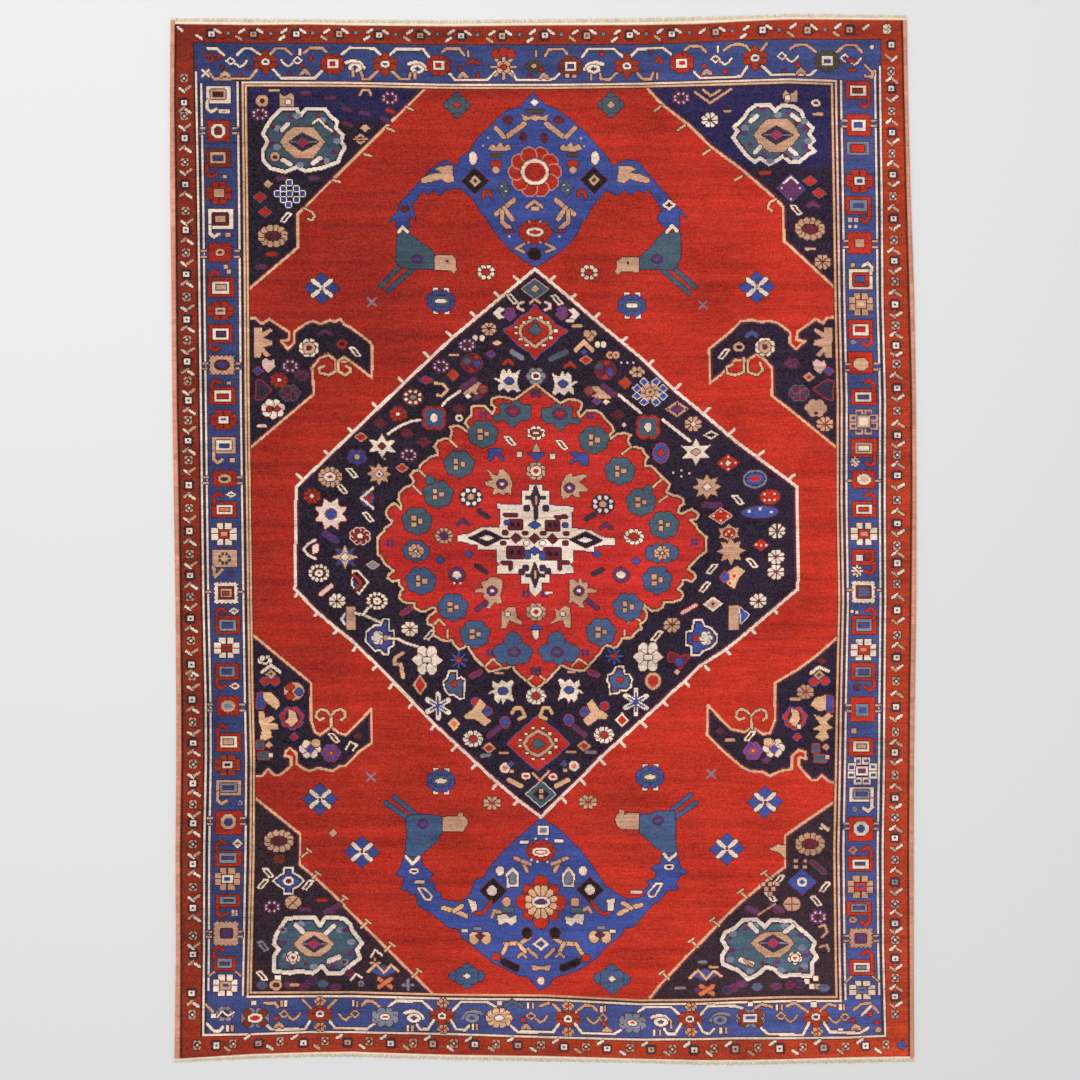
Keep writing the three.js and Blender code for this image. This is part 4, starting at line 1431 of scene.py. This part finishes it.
line n/K 3 535.5,508 535.5,518
block n/K 5 5 526.5,508 546,508 526,568 543,568 521.5,571.5 548,571.5
line M/K 3 505,515 516,515 ; 556,517 566,517
block M/K 14 10 516,525 553,525.5
block M/K 17 12 515.5,553 553,554
block k 4 4 513,525 519,525 550,525 556,525 512,553 519,553 550,554 556,554
block b/K 5 4 507,523 565,525
block b/K 5 8 527,554.5 543,556
gem b/k 12 8 534.5,525 534.5,551
gem M/K 11 10 516,538 534.5,538.5 552.5,539
line K 1.2 500,538.5 570,538.5
block M/K 5 3.4 525,533 543,533 505,532.5 566,533.5 503.5,543 565,543
oval W/n 6 5 526.5,543 542.5,543
gem N/K 34 16 486,538
gem N/K 33 16 586,540
gem W/KW 14 6 2 487,538 585,540
line M/K 3 502,562.5 510.5,562.5 510.5,569 ; 568,562.5 559.5,562.5 559.5,569
gem n/K 9 26 535,575
block n 20 4.6 535,575.5
block Y/K 2.4 8 535.5,575
"""

MOTIFS["bud"] = """
    bloom 1/K 30 28 7 12 0,0
    block Y/K 4.4 4.4 -3,-3 -3,3.4 3.6,0"""

weave(SPANDRELS)

# Navy isn't one dye all over: it is a royal navy in the topmost rows, and in more of them in the right
# half, and it has gone brown at the lower end
for dye, part in (("V", chart[:145, 366:]), ("V", chart[:96, :366]), ("v", chart[760:])):
    part[part == LETTERS.index("N")] = LETTERS.index(dye)

for table in (BRACKETS, PENDANTS, MEDALLION):
    weave(table)

# The field is kept while the border's grounds and straight lines go round it: the dye of each, then the
# columns and rows from and to, each laid over the last
FIELD = slice(64, 971), slice(74, 657)
GROUNDS = """
K 0 0 733 1032
G 2 0 731 1032
K 20 18 709 1014
B 22 19 708 1013
K 22 1010 708 1011
W 22 1011 708 1013
W 22 48 24 1011
n 24 60 27 1011
W 27 60 29 970
n 29 60 30 970
K 62 57 63 975
W 63 57 65 975
n 65 57 68 975
O 68 58 70 977
K 70 58 72 977
n 700 48 701 970
W 701 48 703 970
n 703 46 706 1011
W 706 44 708 1011
K 667 57 670 975
W 667 57 669 975
n 664 57 667 975
K 63 57 670 58
W 68 58 664 60
L 662 58 664 977
K 70 60 662 61
K 71 973 662 975
W 68 975 664 977
K 68 977 664 978
K 660 61 662 974
O 71 61 660 973
K 73 63 658 971
"""
kept = chart[FIELD].copy()
for dye, *ends in map(str.split, GROUNDS.strip().splitlines()):
    left, top, right, bottom = map(int, ends)
    chart[top:bottom, left:right] = LETTERS.index(dye)
chart[FIELD] = kept

for table in (GUARDS, LEFT_STRIP, RIGHT_STRIP, BREAKS, TOP_STRIP, BOTTOM_STRIP):
    weave(table)

# Wool and yarn, as node groups that the materials share. Pale fuzz adds some light to a knot: the most
# that it adds, what is taken off all the knots for it, and the least light that is left
FUZZ, FUZZ_TAKEN, DARKEST = 0.03, 0.013, 0.001


def group(name, inputs, outputs):
    """A node group with named sockets, each with its kind and, going in, its usual value."""
    tree = bpy.data.node_groups.new(name, "ShaderNodeTree")
    for socket, (kind, value) in inputs.items():
        made = tree.interface.new_socket(socket, in_out="INPUT", socket_type=kind)
        if value is not None:
            made.default_value = value
    for socket, kind in outputs.items():
        tree.interface.new_socket(socket, in_out="OUTPUT", socket_type=kind)
    return tree, tree.nodes.new("NodeGroupInput").outputs, tree.nodes.new("NodeGroupOutput").inputs


def node(tree, kind, links=(), **settings):
    """A node with its settings, and its sockets linked or set: each name or number with what goes in."""
    made = tree.nodes.new(kind)
    for name, value in settings.items():
        setattr(made, name, value)
    for socket, value in dict(links).items():
        if isinstance(value, bpy.types.NodeSocket):
            tree.links.new(value, made.inputs[socket])
        else:
            made.inputs[socket].default_value = value
    return made


def math_of(tree, operation, *values):
    return node(tree, "ShaderNodeMath", dict(enumerate(values)), operation=operation).outputs[0]


def make_streaks():
    """Abrash and carding: bands and streaks of one dye along the knot rows, and soft clouds over them."""
    tree, put, out = group(
        "wool streaks",
        {"Place": ("NodeSocketVector", None), "Depth": ("NodeSocketFloat", 0.1)},
        {"Tone": "NodeSocketFloat"},
    )
    rows = node(tree, "ShaderNodeMapping", {"Vector": put["Place"], "Scale": (22, 240, 40)})
    streak = node(tree, "ShaderNodeTexNoise", {"Vector": rows.outputs[0], "Scale": 1.0, "Detail": 3.0})
    cloud = node(tree, "ShaderNodeTexNoise", {"Vector": put["Place"], "Scale": 5.0, "Detail": 4.0})
    bands = node(tree, "ShaderNodeMapping", {"Vector": put["Place"], "Scale": (1.6, 34, 1)})
    band = node(tree, "ShaderNodeTexNoise", {"Vector": bands.outputs[0], "Scale": 1.0, "Detail": 3.0})
    both = math_of(tree, "ADD", streak.outputs[0], cloud.outputs[0])
    every = math_of(tree, "ADD", both, band.outputs[0])
    leaning = math_of(tree, "SUBTRACT", every, 1.5)
    tree.links.new(math_of(tree, "MULTIPLY_ADD", leaning, put["Depth"], 1.0), out["Tone"])
    return tree


def make_knots():
    """The single knots: each a little lighter or darker than the next, some with pale fuzz, and rounded."""
    tree, put, out = group(
        "single knots",
        {"Count": ("NodeSocketVector", None), "Depth": ("NodeSocketFloat", 0.2)},
        {"Tone": "NodeSocketFloat", "Fuzz": "NodeSocketFloat", "Height": "NodeSocketFloat"},
    )
    cell = node(tree, "ShaderNodeVectorMath", {0: put["Count"]}, operation="FLOOR").outputs[0]
    inside_cell = node(tree, "ShaderNodeVectorMath", {0: put["Count"]}, operation="FRACTION").outputs[0]
    chance = node(tree, "ShaderNodeTexWhiteNoise", {"Vector": cell}, noise_dimensions="2D").outputs[0]
    lean = math_of(tree, "SUBTRACT", chance, 0.5)
    tree.links.new(math_of(tree, "MULTIPLY_ADD", lean, put["Depth"], 1.0), out["Tone"])
    aside = node(tree, "ShaderNodeVectorMath", {0: cell, 1: (7.5, 3.5, 0)}, operation="ADD").outputs[0]
    other = node(tree, "ShaderNodeTexWhiteNoise", {"Vector": aside}, noise_dimensions="2D").outputs[0]
    tree.links.new(math_of(tree, "MULTIPLY", other, FUZZ), out["Fuzz"])
    parts = node(tree, "ShaderNodeSeparateXYZ", {0: inside_cell}).outputs
    across, down = (math_of(tree, "SINE", math_of(tree, "MULTIPLY", parts[k], math.pi)) for k in (0, 1))
    dome = math_of(tree, "MULTIPLY", across, down)
    tree.links.new(math_of(tree, "MULTIPLY_ADD", chance, 0.7, dome), out["Height"])
    return tree


STREAKS, KNOTS = make_streaks(), make_knots()


def toned(tree, colour, tones):
    """A colour made lighter or darker by each tone in turn."""
    for tone in tones:
        scaled = node(tree, "ShaderNodeVectorMath", {0: colour, "Scale": tone}, operation="SCALE")
        colour = scaled.outputs[0]
    return colour


def material(name, roughness, sheen):
    made = bpy.data.materials.new(name)
    made.use_nodes = True
    tree = made.node_tree
    shader = tree.nodes["Principled BSDF"]
    shader.inputs["Roughness"].default_value = roughness
    shader.inputs["Specular IOR Level"].default_value = 0.15
    shader.inputs["Sheen Weight"].default_value = sheen
    shader.inputs["Sheen Roughness"].default_value = 0.6
    return made, tree, shader


def make_wool():
    """The pile: each knot's dye, streaked along the rows, with the knots standing up from it."""
    made, tree, shader = material("knotted wool", 0.92, 0.04)
    place = node(tree, "ShaderNodeTexCoord").outputs["Object"]
    dye = node(tree, "ShaderNodeVertexColor", layer_name="dye").outputs["Color"]
    count = node(tree, "ShaderNodeUVMap", uv_map="knots").outputs["UV"]
    streaks = node(tree, "ShaderNodeGroup", node_tree=STREAKS)
    tree.links.new(place, streaks.inputs["Place"])
    streaks.inputs["Depth"].default_value = 0.85
    knots = node(tree, "ShaderNodeGroup", node_tree=KNOTS)
    tree.links.new(count, knots.inputs["Count"])
    knots.inputs["Depth"].default_value = 0.42
    colour = toned(tree, dye, (streaks.outputs["Tone"], knots.outputs["Tone"]))
    worn = node(tree, "ShaderNodeVectorMath", {0: colour, 1: knots.outputs["Fuzz"]}, operation="ADD")
    taken, least = {0: worn.outputs[0], 1: (FUZZ_TAKEN,) * 3}, {1: (DARKEST,) * 3}
    least[0] = node(tree, "ShaderNodeVectorMath", taken, operation="SUBTRACT").outputs[0]
    clear = node(tree, "ShaderNodeVectorMath", least, operation="MAXIMUM")
    tree.links.new(clear.outputs[0], shader.inputs["Base Color"])
    relief = {"Strength": 0.5, "Distance": 0.0012, "Height": knots.outputs["Height"]}
    bump = node(tree, "ShaderNodeBump", relief)
    tree.links.new(bump.outputs[0], shader.inputs["Normal"])
    return made


def make_yarn(name, depth, fine):
    """Yarn that takes its colour from its mesh, with clouds along it and plied fibres."""
    made, tree, shader = material(name, 0.9, 0.05)
    place = node(tree, "ShaderNodeTexCoord").outputs["Object"]
    dye = node(tree, "ShaderNodeVertexColor", layer_name="dye").outputs["Color"]
    cloud = node(tree, "ShaderNodeTexNoise", {"Vector": place, "Scale": 60.0, "Detail": 3.0}).outputs[0]
    fibre = node(tree, "ShaderNodeTexNoise", {"Vector": place, "Scale": fine, "Detail": 2.0}).outputs[0]
    both = math_of(tree, "SUBTRACT", math_of(tree, "ADD", cloud, fibre), 1.0)
    tone = math_of(tree, "MULTIPLY_ADD", both, depth, 1.0)
    tree.links.new(toned(tree, dye, (tone,)), shader.inputs["Base Color"])
    bump = node(tree, "ShaderNodeBump", {"Strength": 0.6, "Distance": 0.0005, "Height": fibre})
    tree.links.new(bump.outputs[0], shader.inputs["Normal"])
    return made


WOOL = make_wool()
WRAPPING = make_yarn("wrapping yarn", 0.5, 900.0)
WARP = make_yarn("undyed warp yarn", 0.4, 1300.0)


# The pieces


def linear(colour):
    """Screen colours, 0 to 255, as the shader's light values."""
    share = np.asarray(colour, float) / 255
    return np.where(share <= 0.04045, share / 12.92, ((share + 0.055) / 1.055) ** 2.4)


DYE_LIGHT = linear([DYES[letter] for letter in LETTERS])


def numbers(items, name, width=1, kind=np.float32):
    found = np.empty(len(items) * width, kind)
    items.foreach_get(name, found)
    return found.reshape(-1, width) if width > 1 else found


def colour_in(mesh, light):
    """Gives each corner of a mesh its colour."""
    layer = mesh.color_attributes.new("dye", "FLOAT_COLOR", "CORNER")
    layer.data.foreach_set("color", np.c_[light, np.ones(len(light))].astype(np.float32).ravel())


def map_in(mesh, name, places):
    layer = mesh.uv_layers.new(name=name, do_init=False)
    layer.uv.foreach_set("vector", np.asarray(places, np.float32).ravel())


def piece(name, mesh, finish, node_name):
    made = bpy.data.objects.new(name, mesh)
    bpy.context.collection.objects.link(made)
    mesh.materials.append(finish)
    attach(made, "root")
    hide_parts(node_name)
    return made


# The pile comes in bands. In each, knots of one dye are one face within every tile of eight by eight,
# and lines of their own follow the rounded rims and the folds
BAND_ROWS = 172
TILE = 8
FOLDS = (180, 553)
FOLD_LINES = {fold + side * off for fold in FOLDS for off in (0, 2, 5, 10, 16) for side in (-1, 1)}
COLUMN_CUTS = {1, 2, COLUMNS - 2, COLUMNS - 1, *FOLD_LINES, *range(0, COLUMNS, TILE)}
ROW_CUTS = {1, 2, ROWS - 2, ROWS - 1, *range(0, ROWS, TILE)}
RIM_DROP = (0.0026, 0.001, 0.0002)

# Where a band's faces lie on the map for baking: its left and right half, above and then below
BAKE_SIZE = 1024
HALF = 368
LANES = ((0, 384), (384, 768), (768, 896), (896, 1024))
LANE_MARGIN = 5


def rim(count, last):
    """How much lower the pile is at knot lines counted from an edge."""
    off = np.minimum(count, last - count)
    return np.interp(off, (0, 1, 2, 3), (*RIM_DROP, 0))


# Soft darker and lighter patches of the pile, partly wear and partly painted shade and light: where each
# lies, its reach, and how much it adds
WEAR_AND_PAINTED_LIGHT_PATCHES = (
    (-0.48, 0.72, 0.28, -0.12),
    (0.05, 0.8, 0.25, -0.05),
    (0.6, 0.4, 0.2, 0.07),
    (0.5, -0.75, 0.35, 0.03),
    (-0.3, -0.4, 0.25, 0.04),
)

# How strongly each dye takes that wear and painted light and shade: the light yarns keep much the same tone
# all over
WEAR_AND_PAINTED_LIGHT_SHARE = np.array([0.4 if letter in "WYOLAS" else 1.6 for letter in LETTERS])


# How light the rug is painted from left to right, and from its lower to its upper end, partly wear and fading
# and partly painted light and shade: places, and tones there
ASIDE = (-1.07, -0.75, 0, 0.75, 1.07), (0.74, 0.85, 0.96, 1.1, 1.2)
ALONG = (-1.5, -0.9, 0.6, 1.2, 1.5), (1.2, 1.05, 0.99, 0.98, 0.92)


def tone_of_wear_and_painted_light(x, y):
    """How light the rug is over its surface: partly walked and faded, partly painted light and shade, lighter
    towards the right and the lower end.
    """
    aside, along = np.interp(x, *ASIDE), np.interp(y, *ALONG)
    added = sum(much * np.exp(-((x - px) ** 2 + (y - py) ** 2) / reach**2) for px, py, reach, much in WEAR_AND_PAINTED_LIGHT_PATCHES)
    return aside * along + added


# A batch of dyed yarn lasts a few rows: each dye's tone wanders from tile to tile down the rug, and its
# hue wanders with it, less strongly
LOT_SPREAD, HUE_SHARE = 0.05, 0.35
lots = np.random.default_rng(11).normal(0, LOT_SPREAD, (len(LETTERS), ROWS // TILE + 2, 3))
lots = 1 + (lots.mean(2, keepdims=True) + HUE_SHARE * lots)


def make_band(index):
    first = index * BAND_ROWS
    bm = bmesh.new()
    bmesh.ops.create_grid(bm, x_segments=COLUMNS, y_segments=BAND_ROWS, size=0.5)
    bmesh.ops.scale(bm, vec=(COLUMNS, -BAND_ROWS, 1), verts=bm.verts)
    bmesh.ops.translate(bm, vec=(COLUMNS / 2, BAND_ROWS / 2, 0), verts=bm.verts)
    for face in bm.faces:
        at = face.calc_center_median()
        face.material_index = int(chart[first + int(at.y), int(at.x)])
    for edge in bm.edges:
        a, b = (vert.co for vert in edge.verts)
        if abs(a.x - b.x) < 0.5:
            edge.seam = round(a.x) in COLUMN_CUTS
        else:
            edge.seam = first + round(a.y) in ROW_CUTS
    delimit = {"MATERIAL", "SEAM"}
    bmesh.ops.dissolve_limit(bm, angle_limit=0.01, verts=bm.verts, edges=bm.edges, delimit=delimit)
    made = bmesh.ops.extrude_face_region(bm, geom=bm.faces[:], use_keep_orig=True)
    raised = [item for item in made["geom"] if isinstance(item, bmesh.types.BMVert)]
    bmesh.ops.translate(bm, vec=(0, 0, 1), verts=raised)
    bmesh.ops.recalc_face_normals(bm, faces=bm.faces)
    for face in bm.faces:
        face.smooth = abs(face.normal.z) > 0.5
    for edge in bm.edges:
        edge.smooth = all(face.smooth for face in edge.link_faces)
    mesh = bpy.data.meshes.new(f"pile_band_{index + 1}")
    bm.to_mesh(mesh)
    bm.free()

    # Where every corner lies on the chart, and then on the floor
    spots = numbers(mesh.vertices, "co", 3).astype(float)
    column, row, above = spots[:, 0], first + spots[:, 1], spots[:, 2] > 0.5
    x, y = floor_at(column, row)
    height = pile_height(x, y) - np.maximum(rim(column, COLUMNS), rim(row, ROWS))
    placed = np.c_[x, y, np.where(above, height, 0)]
    mesh.vertices.foreach_set("co", placed.astype(np.float32).ravel())

    # Colours: the dye, its lot in these rows, and the rug's tone, which is partly wear and partly painted
    # light and shade
    corner = numbers(mesh.loops, "vertex_index", kind=np.int32)
    sides = numbers(mesh.polygons, "loop_total", kind=np.int32)
    face = np.repeat(np.arange(len(sides)), sides)
    middle = np.add.reduceat(spots[corner], np.r_[0, np.cumsum(sides)[:-1]]) / sides[:, None]
    dye = numbers(mesh.polygons, "material_index", kind=np.int32)
    lot = lots[dye, ((first + middle[:, 1]) // TILE).astype(int)]
    light = (DYE_LIGHT[dye] * lot)[face] * tone_of_wear_and_painted_light(x, y)[corner, None] ** WEAR_AND_PAINTED_LIGHT_SHARE[dye][face, None]
    colour_in(mesh, light)
    mesh.polygons.foreach_set("material_index", np.zeros(len(dye), np.int32))

    # The maps: knots by count, and the places for baking, with the rims in the lanes' margins. A face's
    # level is 0 below, 1 above and between them at the sides
    map_in(mesh, "knots", np.c_[column, row][corner])
    level = middle[face, 2]
    right = (middle[face, 0] > HALF).astype(int)
    lane = right + 2 * (level < 0.25)
    low, high = (np.array(ends)[lane] + side * LANE_MARGIN for ends, side in zip(zip(*LANES), (1, -1)))
    across = (column[corner] - right * HALF) / HALF
    down = spots[corner, 1] / BAND_ROWS
    out = np.where((level > 0.25) & (level < 0.75) & ~above[corner], LANE_MARGIN - 2, 0)
    u = LANE_MARGIN + across * (BAKE_SIZE - 2 * LANE_MARGIN) + out * np.sign(across - 0.5)
    v = low + down * (high - low) + out * np.sign(down - 0.5)
    map_in(mesh, "OFBake", np.c_[u, v] / BAKE_SIZE)
    return piece(f"pile_band_{index + 1}", mesh, WOOL, "rug_pile")


# The wrapped cords, as wide as so many columns: two rings to a wrap, each of eight corners, and how far a
# wrap leans. Now and then a new yarn starts, and no two wraps have quite the same tone
CORD_COLUMNS = 5
CORD_LINES = {"selvedge_left": (-CORD_COLUMNS, 0), "selvedge_right": (COLUMNS, COLUMNS + CORD_COLUMNS)}
CORD_LENGTH = 2.962
CORD_HEIGHT = 0.0082
WRAPS = 1056
CORD_CORNERS = 8
WRAP_LEAN = 0.0009
NEW_YARN = 0.06
WRAP_SPREAD = 0.06
CORD_DYES = linear([(220, 150, 122), (212, 140, 112), (228, 156, 130), (215, 145, 114)])

# The ends: an overcast strip, and the cut warps that come out of it
END_LINES = {"fringe_top": (0, -7), "fringe_bottom": (ROWS, ROWS + 7)}
STRIP_SHARE = 0.5
STRIP_HEIGHT = 0.0046
STITCHES = 560

# The cut warps: where they start, and the least and the spread of their reach, in shares of the end's
# depth; how many columns they lean; how high they start and end; and how their width varies and tapers
WARP_COUNT = 742
WARP_WIDTH = 0.0032
CUT = {
    "root": 0.36, "reach": 0.46, "spread": 0.18, "lean": 0.7,
    "high": 0.0028, "low": 0.0015, "lift": 0.0009,
}
WARP_RANGE = (0.7, 1.1)
WARP_TAPER = 0.7
STRIP_DYES = linear([(250, 226, 196), (255, 242, 220)])
WARP_DYES = linear([(255, 240, 212), (232, 208, 174)])


# Yarn wound on a core, for a cord and for an end: how uneven it is, and how deep the grooves are
CORD_WIND = (0.035, 0.16)
END_WIND = (0.04, 0.15)
CLOSED_END = 0.4


def wound(chance, turns, uneven, groove):
    """How full each ring of wound yarn is: two rings to a turn, with narrow ones at the two ends."""
    full = 1 + chance.normal(0, uneven, 2 * turns + 1)
    full[1::2] -= groove
    full[[0, -1]] = CLOSED_END
    return full


def moved(bm, places):
    for vert, place in zip(bm.verts, places):
        vert.co = place


def spots_of(bm):
    return np.array([vert.co[:] for vert in bm.verts])


def rolled(bm):
    """Closes a grid that was rolled up, with its ends."""
    bmesh.ops.remove_doubles(bm, verts=bm.verts, dist=1e-6)
    bmesh.ops.holes_fill(bm, edges=[edge for edge in bm.edges if edge.is_boundary])


def closed(bm, name):
    bmesh.ops.recalc_face_normals(bm, faces=bm.faces)
    for face in bm.faces:
        face.smooth = True
    mesh = bpy.data.meshes.new(name)
    bm.to_mesh(mesh)
    bm.free()
    return mesh


def make_cord(name):
    """A cord of yarn wrapped round the outer warps: a grid rolled up, with a ridge to each wrap."""
    bm = bmesh.new()
    bmesh.ops.create_grid(bm, x_segments=CORD_CORNERS, y_segments=2 * WRAPS, size=0.5)
    flat = spots_of(bm)
    chance = np.random.default_rng(len(name))
    full = wound(chance, WRAPS, *CORD_WIND)
    ring = np.rint((flat[:, 1] + 0.5) * 2 * WRAPS).astype(int)
    turn = 2 * math.pi * (flat[:, 0] + 0.5)
    along = flat[:, 1] * CORD_LENGTH + WRAP_LEAN * np.sin(turn) * (full[ring] > CLOSED_END)
    row = (0.5 - flat[:, 1]) * ROWS
    (x0, _), (x1, _) = (floor_at(line, row) for line in CORD_LINES[name])
    x = (x0 + x1) / 2 + full[ring] * (x1 - x0) / 2 * np.sin(turn)
    z = np.maximum(CORD_HEIGHT / 2 * (1 - full[ring] * np.cos(turn)), 0)
    moved(bm, np.c_[x, along, z])
    rolled(bm)
    mesh = closed(bm, name)
    place = numbers(mesh.vertices, "co", 3)[numbers(mesh.loops, "vertex_index", kind=np.int32)]
    wrap = ((place[:, 1] / CORD_LENGTH + 0.5) * WRAPS).astype(int).clip(0, WRAPS)
    kind = np.cumsum(chance.random(WRAPS + 1) < NEW_YARN) * 7 % len(CORD_DYES)
    light = CORD_DYES[kind[wrap]] * (1 + chance.normal(0, WRAP_SPREAD, (WRAPS + 1, 1)))[wrap]
    colour_in(mesh, light)
    return piece(name, mesh, WRAPPING, name)


def make_end(name):
    """An end: overcast stitches side by side along a strip, with the cut warps coming out from under."""
    inner, outer = END_LINES[name]
    depth = outer - inner
    chance = np.random.default_rng(len(name))
    bm = bmesh.new()
    bmesh.ops.create_grid(bm, x_segments=2 * STITCHES, y_segments=6, size=0.5)
    flat = spots_of(bm)
    full = wound(chance, STITCHES, *END_WIND)
    ring = np.rint((flat[:, 0] + 0.5) * 2 * STITCHES).astype(int)
    turn = 2 * math.pi * (flat[:, 1] + 0.5)
    first, width = -CORD_COLUMNS, COLUMNS + 2 * CORD_COLUMNS
    column = first + (flat[:, 0] + 0.5) * width
    middle, half = inner + depth * STRIP_SHARE / 2, depth * STRIP_SHARE / 2
    x, y = floor_at(column, middle + half * full[ring] * np.sin(turn))
    z = np.maximum(STRIP_HEIGHT / 2 * (1 - full[ring] * np.cos(turn)), 0)
    moved(bm, np.c_[x, y, z])
    rolled(bm)
    stitched = len(bm.faces)
    for k in range(WARP_COUNT):
        root = np.array([first + width * (k + 0.5) / WARP_COUNT, inner + depth * CUT["root"]])
        lean = chance.normal(0, CUT["lean"])
        tip = root + (lean, depth * (CUT["reach"] + CUT["spread"] * chance.random()))
        ends = [Vector((*floor_at(*end), 0)) for end in (root, tip)]
        ends[0].z, ends[1].z = CUT["high"], CUT["low"] + CUT["lift"] * chance.random()
        way = ends[1] - ends[0]
        place = Matrix.Translation((ends[0] + ends[1]) / 2) @ way.to_track_quat("Z", "Y").to_matrix().to_4x4()
        thick, thin = WARP_WIDTH / 2 * chance.uniform(*WARP_RANGE) * np.array([1, WARP_TAPER])
        cone = {"segments": 4, "radius1": thick, "radius2": thin, "depth": way.length}
        bmesh.ops.create_cone(bm, cap_ends=True, matrix=place, **cone)
    bm.faces.ensure_lookup_table()
    for face in bm.faces[stitched:]:
        face.material_index = 1
    mesh = closed(bm, name)
    sides = numbers(mesh.polygons, "loop_total", kind=np.int32)
    cut = np.repeat(numbers(mesh.polygons, "material_index", kind=np.int32), sides)
    share = chance.random(len(sides))[np.repeat(np.arange(len(sides)), sides), None]
    strip = STRIP_DYES[0] * (1 - share) + STRIP_DYES[1] * share
    warp = WARP_DYES[0] * (1 - share) + WARP_DYES[1] * share
    colour_in(mesh, np.where(cut[:, None] > 0, warp, strip))
    mesh.polygons.foreach_set("material_index", np.zeros(len(sides), np.int32))
    return piece(name, mesh, WARP, name)


# The warps and wefts that hold the knots, inside the pile
CLOTH = {"inset": 1.5, "low": 0.0032, "thickness": 0.0012}


def make_foundation():
    bm = bmesh.new()
    bmesh.ops.create_grid(bm, x_segments=36, y_segments=52, size=0.5)
    made = bmesh.ops.extrude_face_region(bm, geom=bm.faces[:], use_keep_orig=True)
    raised = [item for item in made["geom"] if isinstance(item, bmesh.types.BMVert)]
    bmesh.ops.translate(bm, vec=(0, 0, 1), verts=raised)
    flat = spots_of(bm)
    column = CLOTH["inset"] + (flat[:, 0] + 0.5) * (COLUMNS - 2 * CLOTH["inset"])
    row = CLOTH["inset"] + (0.5 - flat[:, 1]) * (ROWS - 2 * CLOTH["inset"])
    x, y = floor_at(column, row)
    moved(bm, np.c_[x, y, CLOTH["low"] + flat[:, 2] * CLOTH["thickness"]])
    mesh = closed(bm, "rug_foundation")
    colour_in(mesh, np.tile(WARP_DYES[1], (len(mesh.loops), 1)))
    return piece("rug_foundation", mesh, WARP, "rug_pile")


bands = [make_band(index) for index in range(ROWS // BAND_ROWS)]
cords = [make_cord(name) for name in CORD_LINES]
ends = [make_end(name) for name in END_LINES]
foundation = make_foundation()

# The floor, the light, and the camera straight above, which takes in the whole sheet
FLOOR_SIZE = 14
SHEET_SIZE = 1080
VIEW_WIDTH = SHEET_SIZE * KNOT
VIEW_MIDDLE = ((SHEET_SIZE / 2 - SHEET_MIDDLE[0]) * KNOT, (SHEET_MIDDLE[1] - SHEET_SIZE / 2) * KNOT)
LENS, SENSOR = 70, 36
LAMP_SIDE, LAMP_POWER, LAMP_PLACE = 4.5, 130, (-1.6, 2.2, 5.0)
DAYLIGHT = 0.7

bm = bmesh.new()
bmesh.ops.create_grid(bm, x_segments=2, y_segments=2, size=FLOOR_SIZE / 2)
mesh = bpy.data.meshes.new("floor")
bm.to_mesh(mesh)
bm.free()
floor = bpy.data.objects.new("floor", mesh)
bpy.context.collection.objects.link(floor)
paint, _, shader = material("pale floor", 0.8, 0)
shader.inputs["Base Color"].default_value = (0.8, 0.8, 0.8, 1)
mesh.materials.append(paint)

camera = bpy.data.objects.new("camera", bpy.data.cameras.new("camera"))
camera.data.lens = LENS
camera.data.sensor_width = SENSOR
camera.location = (*VIEW_MIDDLE, PILE_TOP + LENS * VIEW_WIDTH / SENSOR)
bpy.context.collection.objects.link(camera)
bpy.context.scene.camera = camera

lamp = bpy.data.objects.new("lamp", bpy.data.lights.new("lamp", "AREA"))
lamp.data.shape = "RECTANGLE"
lamp.data.size, lamp.data.size_y, lamp.data.energy = LAMP_SIDE, LAMP_SIDE, LAMP_POWER
lamp.location = LAMP_PLACE
lamp.rotation_euler = lamp.location.to_track_quat("Z", "Y").to_euler()
bpy.context.collection.objects.link(lamp)

world = bpy.data.worlds.new("studio")
world.use_nodes = True
world.node_tree.nodes["Background"].inputs["Color"].default_value = (1, 1, 1, 1)
world.node_tree.nodes["Background"].inputs["Strength"].default_value = DAYLIGHT
bpy.context.scene.world = world
bpy.context.scene.view_settings.view_transform = "Standard"
